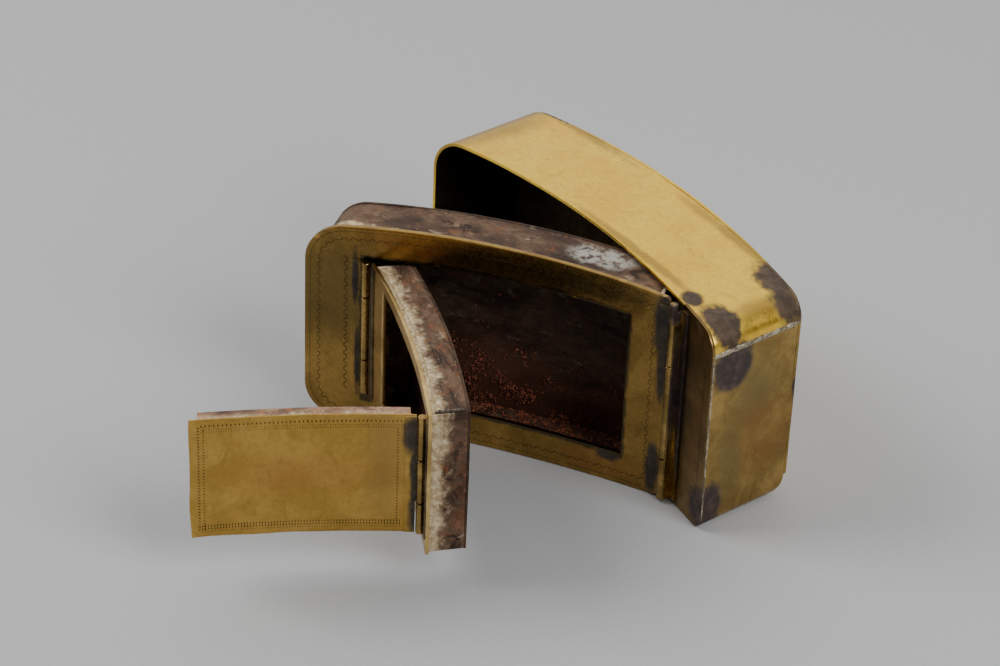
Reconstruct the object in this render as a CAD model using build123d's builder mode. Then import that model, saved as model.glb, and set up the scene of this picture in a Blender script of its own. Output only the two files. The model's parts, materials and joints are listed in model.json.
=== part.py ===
"""Bowed sheet-metal needle case: a case, a box hinged in its mouth, a smaller box in that one, and a lid.

Every body is drawn where it lies with the needle case shut, and its frame carries it to the open rest
position. Shut, +X runs along the length, +Y to the back and +Z up, with the origin at the middle of the
underside. The bodies share one bow in plan, hollow towards the front, and one crown along their tops.
All lengths are millimetres and all angles degrees.
"""
from build123d import *
import os
from math import sqrt

os.makedirs("parts", exist_ok=True)

# ---- Driving dimensions ----
bow_radius = 254.6
crown_radius = 434.0

case_length = 95.0
case_depth = 23.8
case_height = 51.4
case_sheet = 0.7
case_left_radius = 9.0
case_top_right_radius = 5.0
case_bottom_right_radius = 2.5
case_heel_radius = 5.0
end_bulge = 0.5
seam_height = 44.0
seam_bead_radius = 0.35

case_hinge_x = 34.6
window_hinge_x = -33.0
lid_hinge_x = 21.05
axis_standoff = 0.9
knuckle_radius = 0.85
bore_radius = 0.43
pin_radius = 0.4
leaf_sheet = 0.35
leaf_edge = 1.05
leaf_width = 2.2
tongue_end = 0.3

middle_open_angle = 32.45
inner_open_angle = 57.25
lid_open_angle = 82.35

middle_plate_sheet = 1.0
middle_plate_gap = 0.1
middle_plate_left = -46.3
middle_plate_right = 33.45
middle_plate_bottom = 0.2
middle_plate_height = 51.6
middle_depth = 13.0
middle_sheet = 0.6
middle_wall_left = -44.6
middle_wall_right = 31.0
middle_wall_inset = 1.3
solder_reach = 0.35
solder_width = 0.9

window_left = -33.8
window_right = 24.65
window_bottom = 7.85
window_height = 44.1

inner_plate_sheet = 0.8
inner_plate_left = -32.35
inner_plate_right = 23.6
inner_plate_bottom = 8.25
inner_plate_height = 43.7
inner_depth = 8.6
inner_sheet = 0.5
inner_wall_left = -31.3
inner_wall_right = 23.3
inner_wall_inset = 0.35
inner_seam_height = 0.3
inner_seam_length = 2.4

tray_window_left = -23.65
tray_window_right = 19.35
tray_window_bottom = 12.5
tray_window_top = 40.8

lid_plate_sheet = 0.5
lid_plate_gap = 0.1
lid_plate_left = -25.15
lid_plate_bottom = 12.0
lid_plate_top = 41.3
lid_rim_sheet = 0.4
lid_rim_depth = 3.8
lid_rim_clearance = 0.35

knuckle_gap = 0.3
case_knuckle_levels = (0.8, 11.0, 35.0, 50.0)
window_knuckle_levels = (9.0, 17.6, 33.9, 42.4)
lid_knuckle_levels = (12.2, 19.7, 30.8, 41.1)

reach = 60.0
tall = 60.0

# ---- Depths of the bowed sheets, measured at mid length ----
case_front = -case_depth / 2
case_back = case_depth / 2
middle_front = case_front - middle_plate_gap - middle_plate_sheet
middle_wall_front = middle_front + middle_plate_sheet
middle_back = middle_front + middle_depth
inner_front = middle_front
inner_wall_front = inner_front + inner_plate_sheet
inner_back = inner_front + inner_depth
lid_back = inner_front - lid_plate_gap
lid_front = lid_back - lid_plate_sheet


def bow(x):
    """How far the bowed surfaces stand back at x, against mid length."""
    return sqrt(bow_radius**2 - x**2) - bow_radius


def fall(x):
    """How far the crowned tops fall at x, against mid length."""
    return crown_radius - sqrt(crown_radius**2 - x**2)


# ---- Frames: where each body lies at rest ----
def hinge_point(x):
    """Axis of a hinge, standing off the common front of the plates."""
    return Vector(x, bow(x) + middle_front - axis_standoff)


def swung(frame, hinge, angle):
    """Frame turned about the upright axis through a hinge point of that frame."""
    pivot = frame.from_local_coords(hinge)
    origin = pivot + (frame.origin - pivot).rotate(Axis.Z, angle)
    return Plane(origin=origin, x_dir=frame.x_dir.rotate(Axis.Z, angle), z_dir=(0, 0, 1))


def elevation(frame):
    """Plane of a body's front view: length to the right, height up."""
    return Plane(origin=frame.origin, x_dir=frame.x_dir, z_dir=-frame.y_dir)


case_hinge = hinge_point(case_hinge_x)
window_hinge = hinge_point(window_hinge_x)
lid_hinge = hinge_point(lid_hinge_x)
case_frame = Plane.XY
middle_frame = swung(case_frame, case_hinge, middle_open_angle)
inner_frame = swung(middle_frame, window_hinge, -inner_open_angle)
lid_frame = swung(inner_frame, lid_hinge, lid_open_angle)


# ---- Outlines in front view, and slices in plan ----
def crowned_outline(left, right, bottom, height, bulge=0.0, radii=(0, 0, 0, 0)):
    """Flat bottom, crowned top and upright ends; radii: bottom left, top left, top right, bottom right."""
    middle = (left + right) / 2
    corners = [
        (left + bulge, bottom),
        (left + bulge, height - fall(left)),
        (right, height - fall(right)),
        (right, bottom),
    ]
    with BuildSketch() as outline:
        with BuildLine():
            if bulge:
                ThreePointArc(corners[0], (left, height / 2), corners[1])
            else:
                Line(corners[0], corners[1])
            ThreePointArc(corners[1], (middle, height - fall(middle)), corners[2])
            Line(corners[2], corners[3])
            Line(corners[3], corners[0])
        make_face()
        for corner, radius in zip(corners, radii):
            if radius:
                fillet(outline.vertices().sort_by_distance(corner)[0], radius=radius)
    return outline.sketch


def block_outline(left, right, bottom, top):
    """Plain rectangle in front view."""
    with BuildSketch() as outline:
        with Locations(((left + right) / 2, (bottom + top) / 2)):
            Rectangle(right - left, top - bottom)
    return outline.sketch


def inset(outline, amount):
    """Outline drawn in by a constant amount, or out if it is negative."""
    with BuildSketch() as inner:
        add(outline)
        offset(amount=-amount, kind=Kind.INTERSECTION, mode=Mode.REPLACE)
    return inner.sketch


def bow_slice(front, back):
    """Plan of everything between two bowed surfaces."""
    half = case_length / 2 + 1
    with BuildSketch() as plan:
        with BuildLine():
            ThreePointArc((-half, front + bow(half)), (0, front), (half, front + bow(half)))
            Line((half, front + bow(half)), (half, back + bow(half)))
            ThreePointArc((half, back + bow(half)), (0, back), (-half, back + bow(half)))
            Line((-half, back + bow(half)), (-half, front + bow(half)))
        make_face()
    return plan.sketch


# ---- Steps that sub-parts share, used inside a part's own block ----
def bowed_sheet(frame, outline, front, back):
    """First step of a part: an outline between two bowed surfaces."""
    with BuildSketch(elevation(frame)) as face:
        add(outline)
    extrude(face.sketch, amount=reach, both=True)
    with BuildSketch(frame) as plan:
        add(bow_slice(front, back))
    extrude(plan.sketch, amount=tall, mode=Mode.INTERSECT)


def keep_or_cut(frame, outline, mode):
    """Keep or cut what lies behind an outline in front view, through the whole depth."""
    with BuildSketch(elevation(frame)) as face:
        add(outline)
    extrude(face.sketch, amount=reach, both=True, mode=mode)


def knuckles(frame, hinge, spans):
    """Rolled barrels of a leaf over (low, high) spans, with the bore for the pin."""
    for low, high in spans:
        with BuildSketch(frame.offset(low)) as barrel:
            with Locations(hinge):
                Circle(knuckle_radius)
        extrude(barrel.sketch, amount=high - low)
    with BuildSketch(frame) as bore:
        with Locations(hinge):
            Circle(bore_radius)
    extrude(bore.sketch, amount=tall, mode=Mode.SUBTRACT)


def leaf(frame, hinge, side, width, face, low, high, spans):
    """Flat leaf on a bowed face, left (-1) or right (+1) of its hinge, with tongues to its own knuckles."""
    with BuildSketch() as outline:
        with Locations((hinge.X + side * (leaf_edge + width / 2), (low + high) / 2)):
            Rectangle(width, high - low)
        for span_low, span_high in spans:
            with Locations((hinge.X + side * (leaf_edge + tongue_end) / 2, (span_low + span_high) / 2)):
                Rectangle(leaf_edge - tongue_end, span_high - span_low)
    bowed_sheet(frame, outline.sketch, face - leaf_sheet, face)
    knuckles(frame, hinge, spans)


def outer_spans(levels):
    """Bottom and top knuckle of a hinge."""
    return [(levels[0], levels[1]), (levels[2], levels[3])]


def middle_span(levels):
    """Knuckle between them."""
    return [(levels[1] + knuckle_gap, levels[2] - knuckle_gap)]


# ---- Case: outer and cavity solids that its sheets are cut from ----
case_outline = crowned_outline(
    -case_length / 2,
    case_length / 2,
    0,
    case_height,
    end_bulge,
    (case_left_radius, case_left_radius, case_top_right_radius, case_bottom_right_radius),
)


def rounded_heel(back, bottom, radius):
    """Cut the long edge between back and underside to a radius that follows the bow."""
    centre = back - bow_radius
    with BuildSketch(Plane.YZ) as corner:
        with BuildLine():
            Line((back - radius, bottom - 1), (back + 1, bottom - 1))
            Line((back + 1, bottom - 1), (back + 1, bottom + radius))
            Line((back + 1, bottom + radius), (back, bottom + radius))
            RadiusArc((back, bottom + radius), (back - radius, bottom), radius)
            Line((back - radius, bottom), (back - radius, bottom - 1))
        make_face()
    revolve(corner.sketch, axis=Axis((0, centre, 0), (0, 0, 1)), mode=Mode.SUBTRACT)


with BuildPart() as case_outer:
    bowed_sheet(case_frame, case_outline, case_front, case_back)
    rounded_heel(case_back, 0, case_heel_radius)

with BuildPart() as case_cavity:
    bowed_sheet(case_frame, inset(case_outline, case_sheet), case_front - 1, case_back - case_sheet)
    rounded_heel(case_back - case_sheet, case_sheet, case_heel_radius - case_sheet)

strip_left = case_hinge.X + leaf_edge - tongue_end / 2
strip_outline = block_outline(strip_left, case_length / 2 + 1, -1, tall)
panel_outline = block_outline(case_length / 2 - case_bottom_right_radius, case_length / 2 + 1, -1, seam_height)

with BuildPart() as strip_block:
    bowed_sheet(case_frame, strip_outline, case_front - 1, case_front + case_sheet)

with BuildPart() as back_block:
    bowed_sheet(
        case_frame,
        block_outline(-case_length / 2 - 1, case_length / 2 + 1, case_heel_radius, tall),
        case_back - case_sheet,
        case_back + 1,
    )

# Band: top, left end and underside, bent from one strip of sheet.
with BuildPart() as case_band:
    add(case_outer.part)
    add(case_cavity.part, mode=Mode.SUBTRACT)
    add(strip_block.part, mode=Mode.SUBTRACT)
    add(back_block.part, mode=Mode.SUBTRACT)
    keep_or_cut(case_frame, panel_outline, Mode.SUBTRACT)
case_band.part.label = "case_band"
export_step(case_band.part, "parts/case_band.step")

# Back plate, closing the band behind, above its rolled heel.
with BuildPart() as case_back_plate:
    add(case_outer.part)
    add(case_cavity.part, mode=Mode.SUBTRACT)
    add(back_block.part, mode=Mode.INTERSECT)
case_back_plate.part.label = "case_back_plate"
export_step(case_back_plate.part, "parts/case_back_plate.step")

# End panel, let in below the seam at the hinge end.
with BuildPart() as case_end_panel:
    add(case_outer.part)
    add(case_cavity.part, mode=Mode.SUBTRACT)
    add(strip_block.part, mode=Mode.SUBTRACT)
    add(back_block.part, mode=Mode.SUBTRACT)
    keep_or_cut(case_frame, panel_outline, Mode.INTERSECT)
case_end_panel.part.label = "case_end_panel"
export_step(case_end_panel.part, "parts/case_end_panel.step")

# Front strip beside the hinge, lapped over the edges of band and panel.
with BuildPart() as case_front_strip:
    add(case_outer.part)
    add(strip_block.part, mode=Mode.INTERSECT)
case_front_strip.part.label = "case_front_strip"
export_step(case_front_strip.part, "parts/case_front_strip.step")

# Solder bead along the seam between band and end panel.
with BuildPart() as case_top_seam:
    with BuildSketch(Plane.XZ.offset(-case_front - bow(case_length / 2) - seam_bead_radius)):
        with Locations((case_length / 2, seam_height)):
            Circle(seam_bead_radius)
    extrude(amount=2 * seam_bead_radius - case_depth)
    add(case_outer.part, mode=Mode.SUBTRACT)
case_top_seam.part.label = "case_top_seam"
export_step(case_top_seam.part, "parts/case_top_seam.step")

# Solder bead down the corner between front strip and end panel.
front_seam_bottom = case_bottom_right_radius
front_seam_top = seam_height - seam_bead_radius
with BuildPart() as case_front_seam:
    with BuildSketch(case_frame.offset(front_seam_bottom)):
        with Locations((case_length / 2, case_front + bow(case_length / 2) + case_sheet)):
            Circle(seam_bead_radius)
    extrude(amount=front_seam_top - front_seam_bottom)
    add(case_outer.part, mode=Mode.SUBTRACT)
case_front_seam.part.label = "case_front_seam"
export_step(case_front_seam.part, "parts/case_front_seam.step")

# Case leaf: a foot on the strip, and a web that stands up from it to the outer knuckles.
leaf_low = case_knuckle_levels[0]
leaf_high = case_knuckle_levels[3] - 1.5
web_foot = case_front + bow(strip_left)
web_front = case_hinge.Y - leaf_sheet
with BuildPart() as case_hinge_leaf:
    bowed_sheet(
        case_frame,
        block_outline(strip_left, strip_left + leaf_width, leaf_low, leaf_high),
        case_front - leaf_sheet,
        case_front,
    )
    with BuildSketch(case_frame.offset(leaf_low)):
        with Locations((strip_left + leaf_sheet / 2, (web_front + web_foot - leaf_sheet / 2) / 2)):
            Rectangle(leaf_sheet, web_foot - leaf_sheet / 2 - web_front)
    extrude(amount=leaf_high - leaf_low)
    for span_low, span_high in outer_spans(case_knuckle_levels):
        with BuildSketch(case_frame.offset(span_low)):
            with Locations((case_hinge.X + (bore_radius + leaf_edge) / 2, case_hinge.Y)):
                Rectangle(leaf_edge - bore_radius, 2 * leaf_sheet)
        extrude(amount=min(span_high, leaf_high) - span_low)
    knuckles(case_frame, case_hinge, outer_spans(case_knuckle_levels))
case_hinge_leaf.part.label = "case_hinge_leaf"
export_step(case_hinge_leaf.part, "parts/case_hinge_leaf.step")

with BuildPart() as case_hinge_pin:
    with BuildSketch(case_frame.offset(case_knuckle_levels[0])):
        with Locations(case_hinge):
            Circle(pin_radius)
    extrude(amount=case_knuckle_levels[3] - case_knuckle_levels[0])
case_hinge_pin.part.label = "case_hinge_pin"
export_step(case_hinge_pin.part, "parts/case_hinge_pin.step")

# ---- Middle box, swinging out of the case ----
middle_plate_outline = crowned_outline(
    middle_plate_left,
    middle_plate_right,
    middle_plate_bottom,
    middle_plate_height,
    end_bulge,
    (case_left_radius, case_left_radius, 1.0, 1.0),
)
middle_wall_radius = case_left_radius - middle_wall_inset
middle_wall_outline = crowned_outline(
    middle_wall_left,
    middle_wall_right,
    middle_plate_bottom + middle_wall_inset,
    middle_plate_height - middle_wall_inset - middle_plate_bottom,
    end_bulge,
    (middle_wall_radius, middle_wall_radius, 0, 0),
)
window_outline = crowned_outline(window_left, window_right, window_bottom, window_height)

# Front plate, a frame around the window.
with BuildPart() as middle_front_plate:
    bowed_sheet(middle_frame, middle_plate_outline, middle_front, middle_wall_front)
    keep_or_cut(middle_frame, window_outline, Mode.SUBTRACT)
middle_front_plate.part.label = "middle_front_plate"
export_step(middle_front_plate.part, "parts/middle_front_plate.step")

middle_end_outline = block_outline(middle_wall_right - middle_sheet, middle_wall_right + 1, 0, tall)

# Wall band: top, left end and underside.
with BuildPart() as middle_wall_band:
    bowed_sheet(middle_frame, middle_wall_outline, middle_wall_front, middle_back - middle_sheet)
    keep_or_cut(middle_frame, inset(middle_wall_outline, middle_sheet), Mode.SUBTRACT)
    keep_or_cut(middle_frame, middle_end_outline, Mode.SUBTRACT)
middle_wall_band.part.label = "middle_wall_band"
export_step(middle_wall_band.part, "parts/middle_wall_band.step")

# End wall beside the case hinge.
with BuildPart() as middle_end_wall:
    bowed_sheet(middle_frame, middle_wall_outline, middle_wall_front, middle_back - middle_sheet)
    keep_or_cut(middle_frame, middle_end_outline, Mode.INTERSECT)
middle_end_wall.part.label = "middle_end_wall"
export_step(middle_end_wall.part, "parts/middle_end_wall.step")

with BuildPart() as middle_back_plate:
    bowed_sheet(middle_frame, middle_wall_outline, middle_back - middle_sheet, middle_back)
middle_back_plate.part.label = "middle_back_plate"
export_step(middle_back_plate.part, "parts/middle_back_plate.step")

# Solder run in the corner between the walls and the back of the front plate.
with BuildPart() as middle_solder_fillet:
    bowed_sheet(
        middle_frame,
        inset(middle_wall_outline, -solder_reach),
        middle_wall_front,
        middle_wall_front + solder_width,
    )
    keep_or_cut(middle_frame, middle_wall_outline, Mode.SUBTRACT)
middle_solder_fillet.part.label = "middle_solder_fillet"
export_step(middle_solder_fillet.part, "parts/middle_solder_fillet.step")

with BuildPart() as middle_hinge_leaf:
    leaf(
        middle_frame,
        case_hinge,
        -1,
        leaf_width,
        middle_front,
        case_knuckle_levels[0],
        case_knuckle_levels[3] - 1.5,
        middle_span(case_knuckle_levels),
    )
middle_hinge_leaf.part.label = "middle_hinge_leaf"
export_step(middle_hinge_leaf.part, "parts/middle_hinge_leaf.step")

with BuildPart() as window_hinge_leaf:
    leaf(
        middle_frame,
        window_hinge,
        -1,
        leaf_width,
        middle_front,
        window_knuckle_levels[0],
        window_knuckle_levels[3],
        outer_spans(window_knuckle_levels),
    )
window_hinge_leaf.part.label = "window_hinge_leaf"
export_step(window_hinge_leaf.part, "parts/window_hinge_leaf.step")

with BuildPart() as window_hinge_pin:
    with BuildSketch(middle_frame.offset(window_knuckle_levels[0])):
        with Locations(window_hinge):
            Circle(pin_radius)
    extrude(amount=window_knuckle_levels[3] - window_knuckle_levels[0])
window_hinge_pin.part.label = "window_hinge_pin"
export_step(window_hinge_pin.part, "parts/window_hinge_pin.step")

# ---- Inner box, swinging out of the window ----
inner_plate_outline = crowned_outline(
    inner_plate_left, inner_plate_right, inner_plate_bottom, inner_plate_height
)
inner_wall_outline = crowned_outline(
    inner_wall_left,
    inner_wall_right,
    inner_plate_bottom + inner_wall_inset,
    inner_plate_height - inner_wall_inset,
)
tray_window_outline = block_outline(
    tray_window_left, tray_window_right, tray_window_bottom, tray_window_top
)
inner_end_outline = block_outline(inner_wall_right - inner_sheet, inner_wall_right + 1, 0, tall)

# Front plate, a frame around the tray window.
with BuildPart() as inner_front_plate:
    bowed_sheet(inner_frame, inner_plate_outline, inner_front, inner_wall_front)
    keep_or_cut(inner_frame, tray_window_outline, Mode.SUBTRACT)
inner_front_plate.part.label = "inner_front_plate"
export_step(inner_front_plate.part, "parts/inner_front_plate.step")

# Wall band: top, hinge end and underside.
with BuildPart() as inner_wall_band:
    bowed_sheet(inner_frame, inner_wall_outline, inner_wall_front, inner_back - inner_sheet)
    keep_or_cut(inner_frame, inset(inner_wall_outline, inner_sheet), Mode.SUBTRACT)
    keep_or_cut(inner_frame, inner_end_outline, Mode.SUBTRACT)
inner_wall_band.part.label = "inner_wall_band"
export_step(inner_wall_band.part, "parts/inner_wall_band.step")

# End panel at the free end.
with BuildPart() as inner_end_panel:
    bowed_sheet(inner_frame, inner_wall_outline, inner_wall_front, inner_back - inner_sheet)
    keep_or_cut(inner_frame, inner_end_outline, Mode.INTERSECT)
inner_end_panel.part.label = "inner_end_panel"
export_step(inner_end_panel.part, "parts/inner_end_panel.step")

with BuildPart() as inner_back_plate:
    bowed_sheet(inner_frame, inner_wall_outline, inner_back - inner_sheet, inner_back)
inner_back_plate.part.label = "inner_back_plate"
export_step(inner_back_plate.part, "parts/inner_back_plate.step")

# Soldered lap on the top corner of the free end.
seam_left = inner_wall_right - inner_seam_length
with BuildPart() as inner_seam:
    bowed_sheet(
        inner_frame,
        inset(inner_wall_outline, -inner_seam_height),
        inner_wall_front + inner_sheet,
        inner_back - inner_sheet,
    )
    keep_or_cut(inner_frame, block_outline(seam_left, inner_wall_right, tall / 2, tall), Mode.INTERSECT)
    keep_or_cut(inner_frame, inner_wall_outline, Mode.SUBTRACT)
inner_seam.part.label = "inner_seam"
export_step(inner_seam.part, "parts/inner_seam.step")

with BuildPart() as inner_hinge_leaf:
    leaf(
        inner_frame,
        window_hinge,
        1,
        leaf_width,
        inner_front,
        window_knuckle_levels[0],
        window_knuckle_levels[3],
        middle_span(window_knuckle_levels),
    )
inner_hinge_leaf.part.label = "inner_hinge_leaf"
export_step(inner_hinge_leaf.part, "parts/inner_hinge_leaf.step")

with BuildPart() as lid_hinge_fixed_leaf:
    leaf(
        inner_frame,
        lid_hinge,
        1,
        inner_plate_right - lid_hinge.X - leaf_edge,
        inner_front,
        lid_knuckle_levels[0],
        lid_knuckle_levels[3],
        outer_spans(lid_knuckle_levels),
    )
lid_hinge_fixed_leaf.part.label = "lid_hinge_fixed_leaf"
export_step(lid_hinge_fixed_leaf.part, "parts/lid_hinge_fixed_leaf.step")

with BuildPart() as lid_hinge_pin:
    with BuildSketch(inner_frame.offset(lid_knuckle_levels[0])):
        with Locations(lid_hinge):
            Circle(pin_radius)
    extrude(amount=lid_knuckle_levels[3] - lid_knuckle_levels[0])
lid_hinge_pin.part.label = "lid_hinge_pin"
export_step(lid_hinge_pin.part, "parts/lid_hinge_pin.step")

# ---- Lid of the inner box ----
lid_plate_outline = block_outline(
    lid_plate_left, lid_hinge.X - leaf_edge, lid_plate_bottom, lid_plate_top
)
lid_rim_outline = inset(tray_window_outline, lid_rim_clearance)

with BuildPart() as lid_front_plate:
    bowed_sheet(lid_frame, lid_plate_outline, lid_front, lid_back)
lid_front_plate.part.label = "lid_front_plate"
export_step(lid_front_plate.part, "parts/lid_front_plate.step")

# Rim behind the plate, plugging into the tray window.
with BuildPart() as lid_wall_rim:
    bowed_sheet(lid_frame, lid_rim_outline, lid_back, lid_front + lid_rim_depth)
    keep_or_cut(lid_frame, inset(lid_rim_outline, lid_rim_sheet), Mode.SUBTRACT)
lid_wall_rim.part.label = "lid_wall_rim"
export_step(lid_wall_rim.part, "parts/lid_wall_rim.step")

with BuildPart() as lid_hinge_leaf:
    leaf(
        lid_frame,
        lid_hinge,
        -1,
        leaf_width,
        lid_front,
        lid_knuckle_levels[0],
        lid_knuckle_levels[3],
        middle_span(lid_knuckle_levels),
    )
lid_hinge_leaf.part.label = "lid_hinge_leaf"
export_step(lid_hinge_leaf.part, "parts/lid_hinge_leaf.step")
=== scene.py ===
"""Looks of the needle case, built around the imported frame.

Every piece is modelled in millimetres in its body's own shut frame, where +X runs along the length, +Y to
the back and +Z up, and its object's matrix carries it to the open rest position in metres.
"""
import json
import math
import random

import bmesh
import bpy
import numpy as np
from mathutils import Matrix, Vector, noise

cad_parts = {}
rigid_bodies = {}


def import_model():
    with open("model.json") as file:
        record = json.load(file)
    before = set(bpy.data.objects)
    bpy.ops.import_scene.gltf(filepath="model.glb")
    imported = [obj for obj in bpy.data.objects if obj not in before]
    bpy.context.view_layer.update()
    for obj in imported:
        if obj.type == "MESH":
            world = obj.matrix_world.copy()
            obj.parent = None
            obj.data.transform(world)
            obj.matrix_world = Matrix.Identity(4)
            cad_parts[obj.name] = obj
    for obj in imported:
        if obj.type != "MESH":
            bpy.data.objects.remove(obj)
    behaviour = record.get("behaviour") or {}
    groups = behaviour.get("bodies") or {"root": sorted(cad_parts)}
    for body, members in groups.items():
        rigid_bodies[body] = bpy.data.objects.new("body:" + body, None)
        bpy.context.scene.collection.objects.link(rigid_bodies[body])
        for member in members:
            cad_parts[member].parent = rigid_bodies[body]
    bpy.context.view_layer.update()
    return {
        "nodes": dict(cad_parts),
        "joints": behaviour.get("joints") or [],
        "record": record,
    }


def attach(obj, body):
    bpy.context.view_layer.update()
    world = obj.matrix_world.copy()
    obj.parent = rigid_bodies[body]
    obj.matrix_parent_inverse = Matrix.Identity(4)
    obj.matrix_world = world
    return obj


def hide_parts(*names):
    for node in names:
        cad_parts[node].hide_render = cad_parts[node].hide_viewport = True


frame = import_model()

MM = 0.001
BOW_RADIUS = 254.6
CROWN_RADIUS = 434.0
SHUT_LIMIT = {"case_hinge": 0, "inner_hinge": 1, "lid_hinge": 0}


# ---- Frames of the bodies, from the joints ----
def shut_frames():
    """Matrix from each body's shut frame to its rest place, in metres."""
    frames = {"case": Matrix.Identity(4)}
    for joint in frame["joints"]:
        pivot = Matrix.Translation(joint["pos_m"])
        angle = -math.radians(joint["range_deg"][SHUT_LIMIT[joint["name"]]])
        turn = pivot @ Matrix.Rotation(angle, 4, "Z") @ pivot.inverted()
        frames[joint["child"]] = turn @ frames[joint["parent"]]
    return frames


FRAMES = shut_frames()
BODY_OF = {n: body for body, nodes in frame["record"]["behaviour"]["bodies"].items() for n in nodes}


def bow(x):
    """How far a bowed surface stands back at x, against mid length."""
    return math.sqrt(BOW_RADIUS**2 - x * x) - BOW_RADIUS


class Extent:
    """Millimetre extent of a CAD node in its body's shut frame, with depths measured off the bow."""

    def __init__(self, node):
        back = FRAMES[BODY_OF[node]].inverted()
        points = [(back @ v.co) / MM for v in frame["nodes"][node].data.vertices]
        xs = [p.x for p in points]
        depths = [p.y - bow(p.x) for p in points]
        zs = [p.z for p in points]
        self.left, self.right = min(xs), max(xs)
        self.front, self.back = min(depths), max(depths)
        self.low, self.high = min(zs), max(zs)


# ---- Outlines in front view ----
def crown_at(x, height):
    """Height of a crowned top at x."""
    return height - CROWN_RADIUS + math.sqrt(CROWN_RADIUS**2 - x * x)


def arc_points(centre, radius, start, end, count):
    """Points along an arc, angles in radians."""
    step = (end - start) / count
    return [
        (centre[0] + radius * math.cos(start + i * step), centre[1] + radius * math.sin(start + i * step))
        for i in range(count + 1)
    ]


def outline(left, right, low, height, radii=(0, 0, 0, 0), crowned=True, spacing=1.0):
    """Closed outline, anticlockwise from the foot of the right end.

    The radii are those of the low left, top left, top right and low right corners.
    """
    low_left, top_left, top_right, low_right = radii
    big = CROWN_RADIUS if crowned else 1e5
    crown_centre = height - big

    def corner(x, radius):
        """Centre of a top corner, and the angle where it meets the crown."""
        z = crown_centre + math.sqrt((big - radius) ** 2 - x * x)
        return (x, z), math.atan2(z - crown_centre, x)

    right_corner, right_angle = corner(right - top_right, top_right)
    left_corner, left_angle = corner(left + top_left, top_left)
    points = line_points((right, low + low_right), (right, right_corner[1]), spacing)
    if top_right:
        points += arc_points(right_corner, top_right, 0, right_angle, 10)
    crown = max(8, int((right - left) / spacing))
    points += arc_points((0, crown_centre), big, right_angle, left_angle, crown)
    if top_left:
        points += arc_points(left_corner, top_left, left_angle, math.pi, 14)
    points += line_points((left, left_corner[1]), (left, low + low_left), spacing)
    if low_left:
        points += arc_points((left + low_left, low + low_left), low_left, math.pi, 1.5 * math.pi, 14)
    points += line_points((left + low_left, low), (right - low_right, low), spacing)
    if low_right:
        points += arc_points((right - low_right, low + low_right), low_right, -math.pi / 2, 0, 8)
    kept = [points[0]]
    for p in points[1:]:
        if math.dist(p, kept[-1]) > 1e-4:
            kept.append(p)
    if math.dist(kept[0], kept[-1]) < 1e-4:
        kept.pop()
    return kept


def line_points(start, end, spacing):
    """Evenly spaced points from start to end, both included."""
    count = max(1, round(math.dist(start, end) / spacing))
    return [
        (start[0] + (end[0] - start[0]) * i / count, start[1] + (end[1] - start[1]) * i / count)
        for i in range(count + 1)
    ]


def from_top_right(points):
    """Closed outline turned so that it starts at its upper right corner."""
    start = max(range(len(points)), key=lambda i: points[i][0] * 100 + points[i][1])
    return points[start:] + points[:start]


def without_right_side(points, right, low):
    """Outline from its upper right corner, as an open path that leaves out the right side."""
    path = from_top_right(points)
    while abs(path[-1][0] - right) < 1e-3 and path[-1][1] > low + 1e-3:
        path.pop()
    return path


def shrunk(points, amount):
    """Closed outline moved in by amount along its normals."""
    count = len(points)
    moved = []
    for i, (x, z) in enumerate(points):
        before, after = points[i - 1], points[(i + 1) % count]
        a = Vector((x - before[0], z - before[1])).normalized()
        b = Vector((after[0] - x, after[1] - z)).normalized()
        normal = (Vector((-a.y, a.x)) + Vector((-b.y, b.x))).normalized()
        stretch = 1 / max(0.5, normal.dot(Vector((-a.y, a.x))))
        moved.append((x + normal.x * amount * stretch, z + normal.y * amount * stretch))
    return moved


def ray_hit(points, centre, angle):
    """Where a ray from centre meets a closed outline."""
    direction = Vector((math.cos(angle), math.sin(angle)))
    best = None
    for i, p in enumerate(points):
        a = Vector(p) - Vector(centre)
        b = Vector(points[(i + 1) % len(points)]) - Vector(centre)
        edge = b - a
        cross = direction.x * edge.y - direction.y * edge.x
        if abs(cross) < 1e-9:
            continue
        reach = (a.x * edge.y - a.y * edge.x) / cross
        along = (a.x * direction.y - a.y * direction.x) / cross
        if reach > 0 and -1e-6 <= along <= 1 + 1e-6 and (best is None or reach > best):
            best = reach
    return (centre[0] + direction.x * best, centre[1] + direction.y * best)


# ---- Meshes ----
def waviness(x, z, amount, seed):
    """Low dents of hand-beaten sheet."""
    coarse = noise.noise(Vector((x * 0.045, z * 0.05, seed)))
    fine = noise.noise(Vector((x * 0.16, z * 0.16, seed + 7.3)))
    return amount * (coarse + 0.3 * fine)


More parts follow.
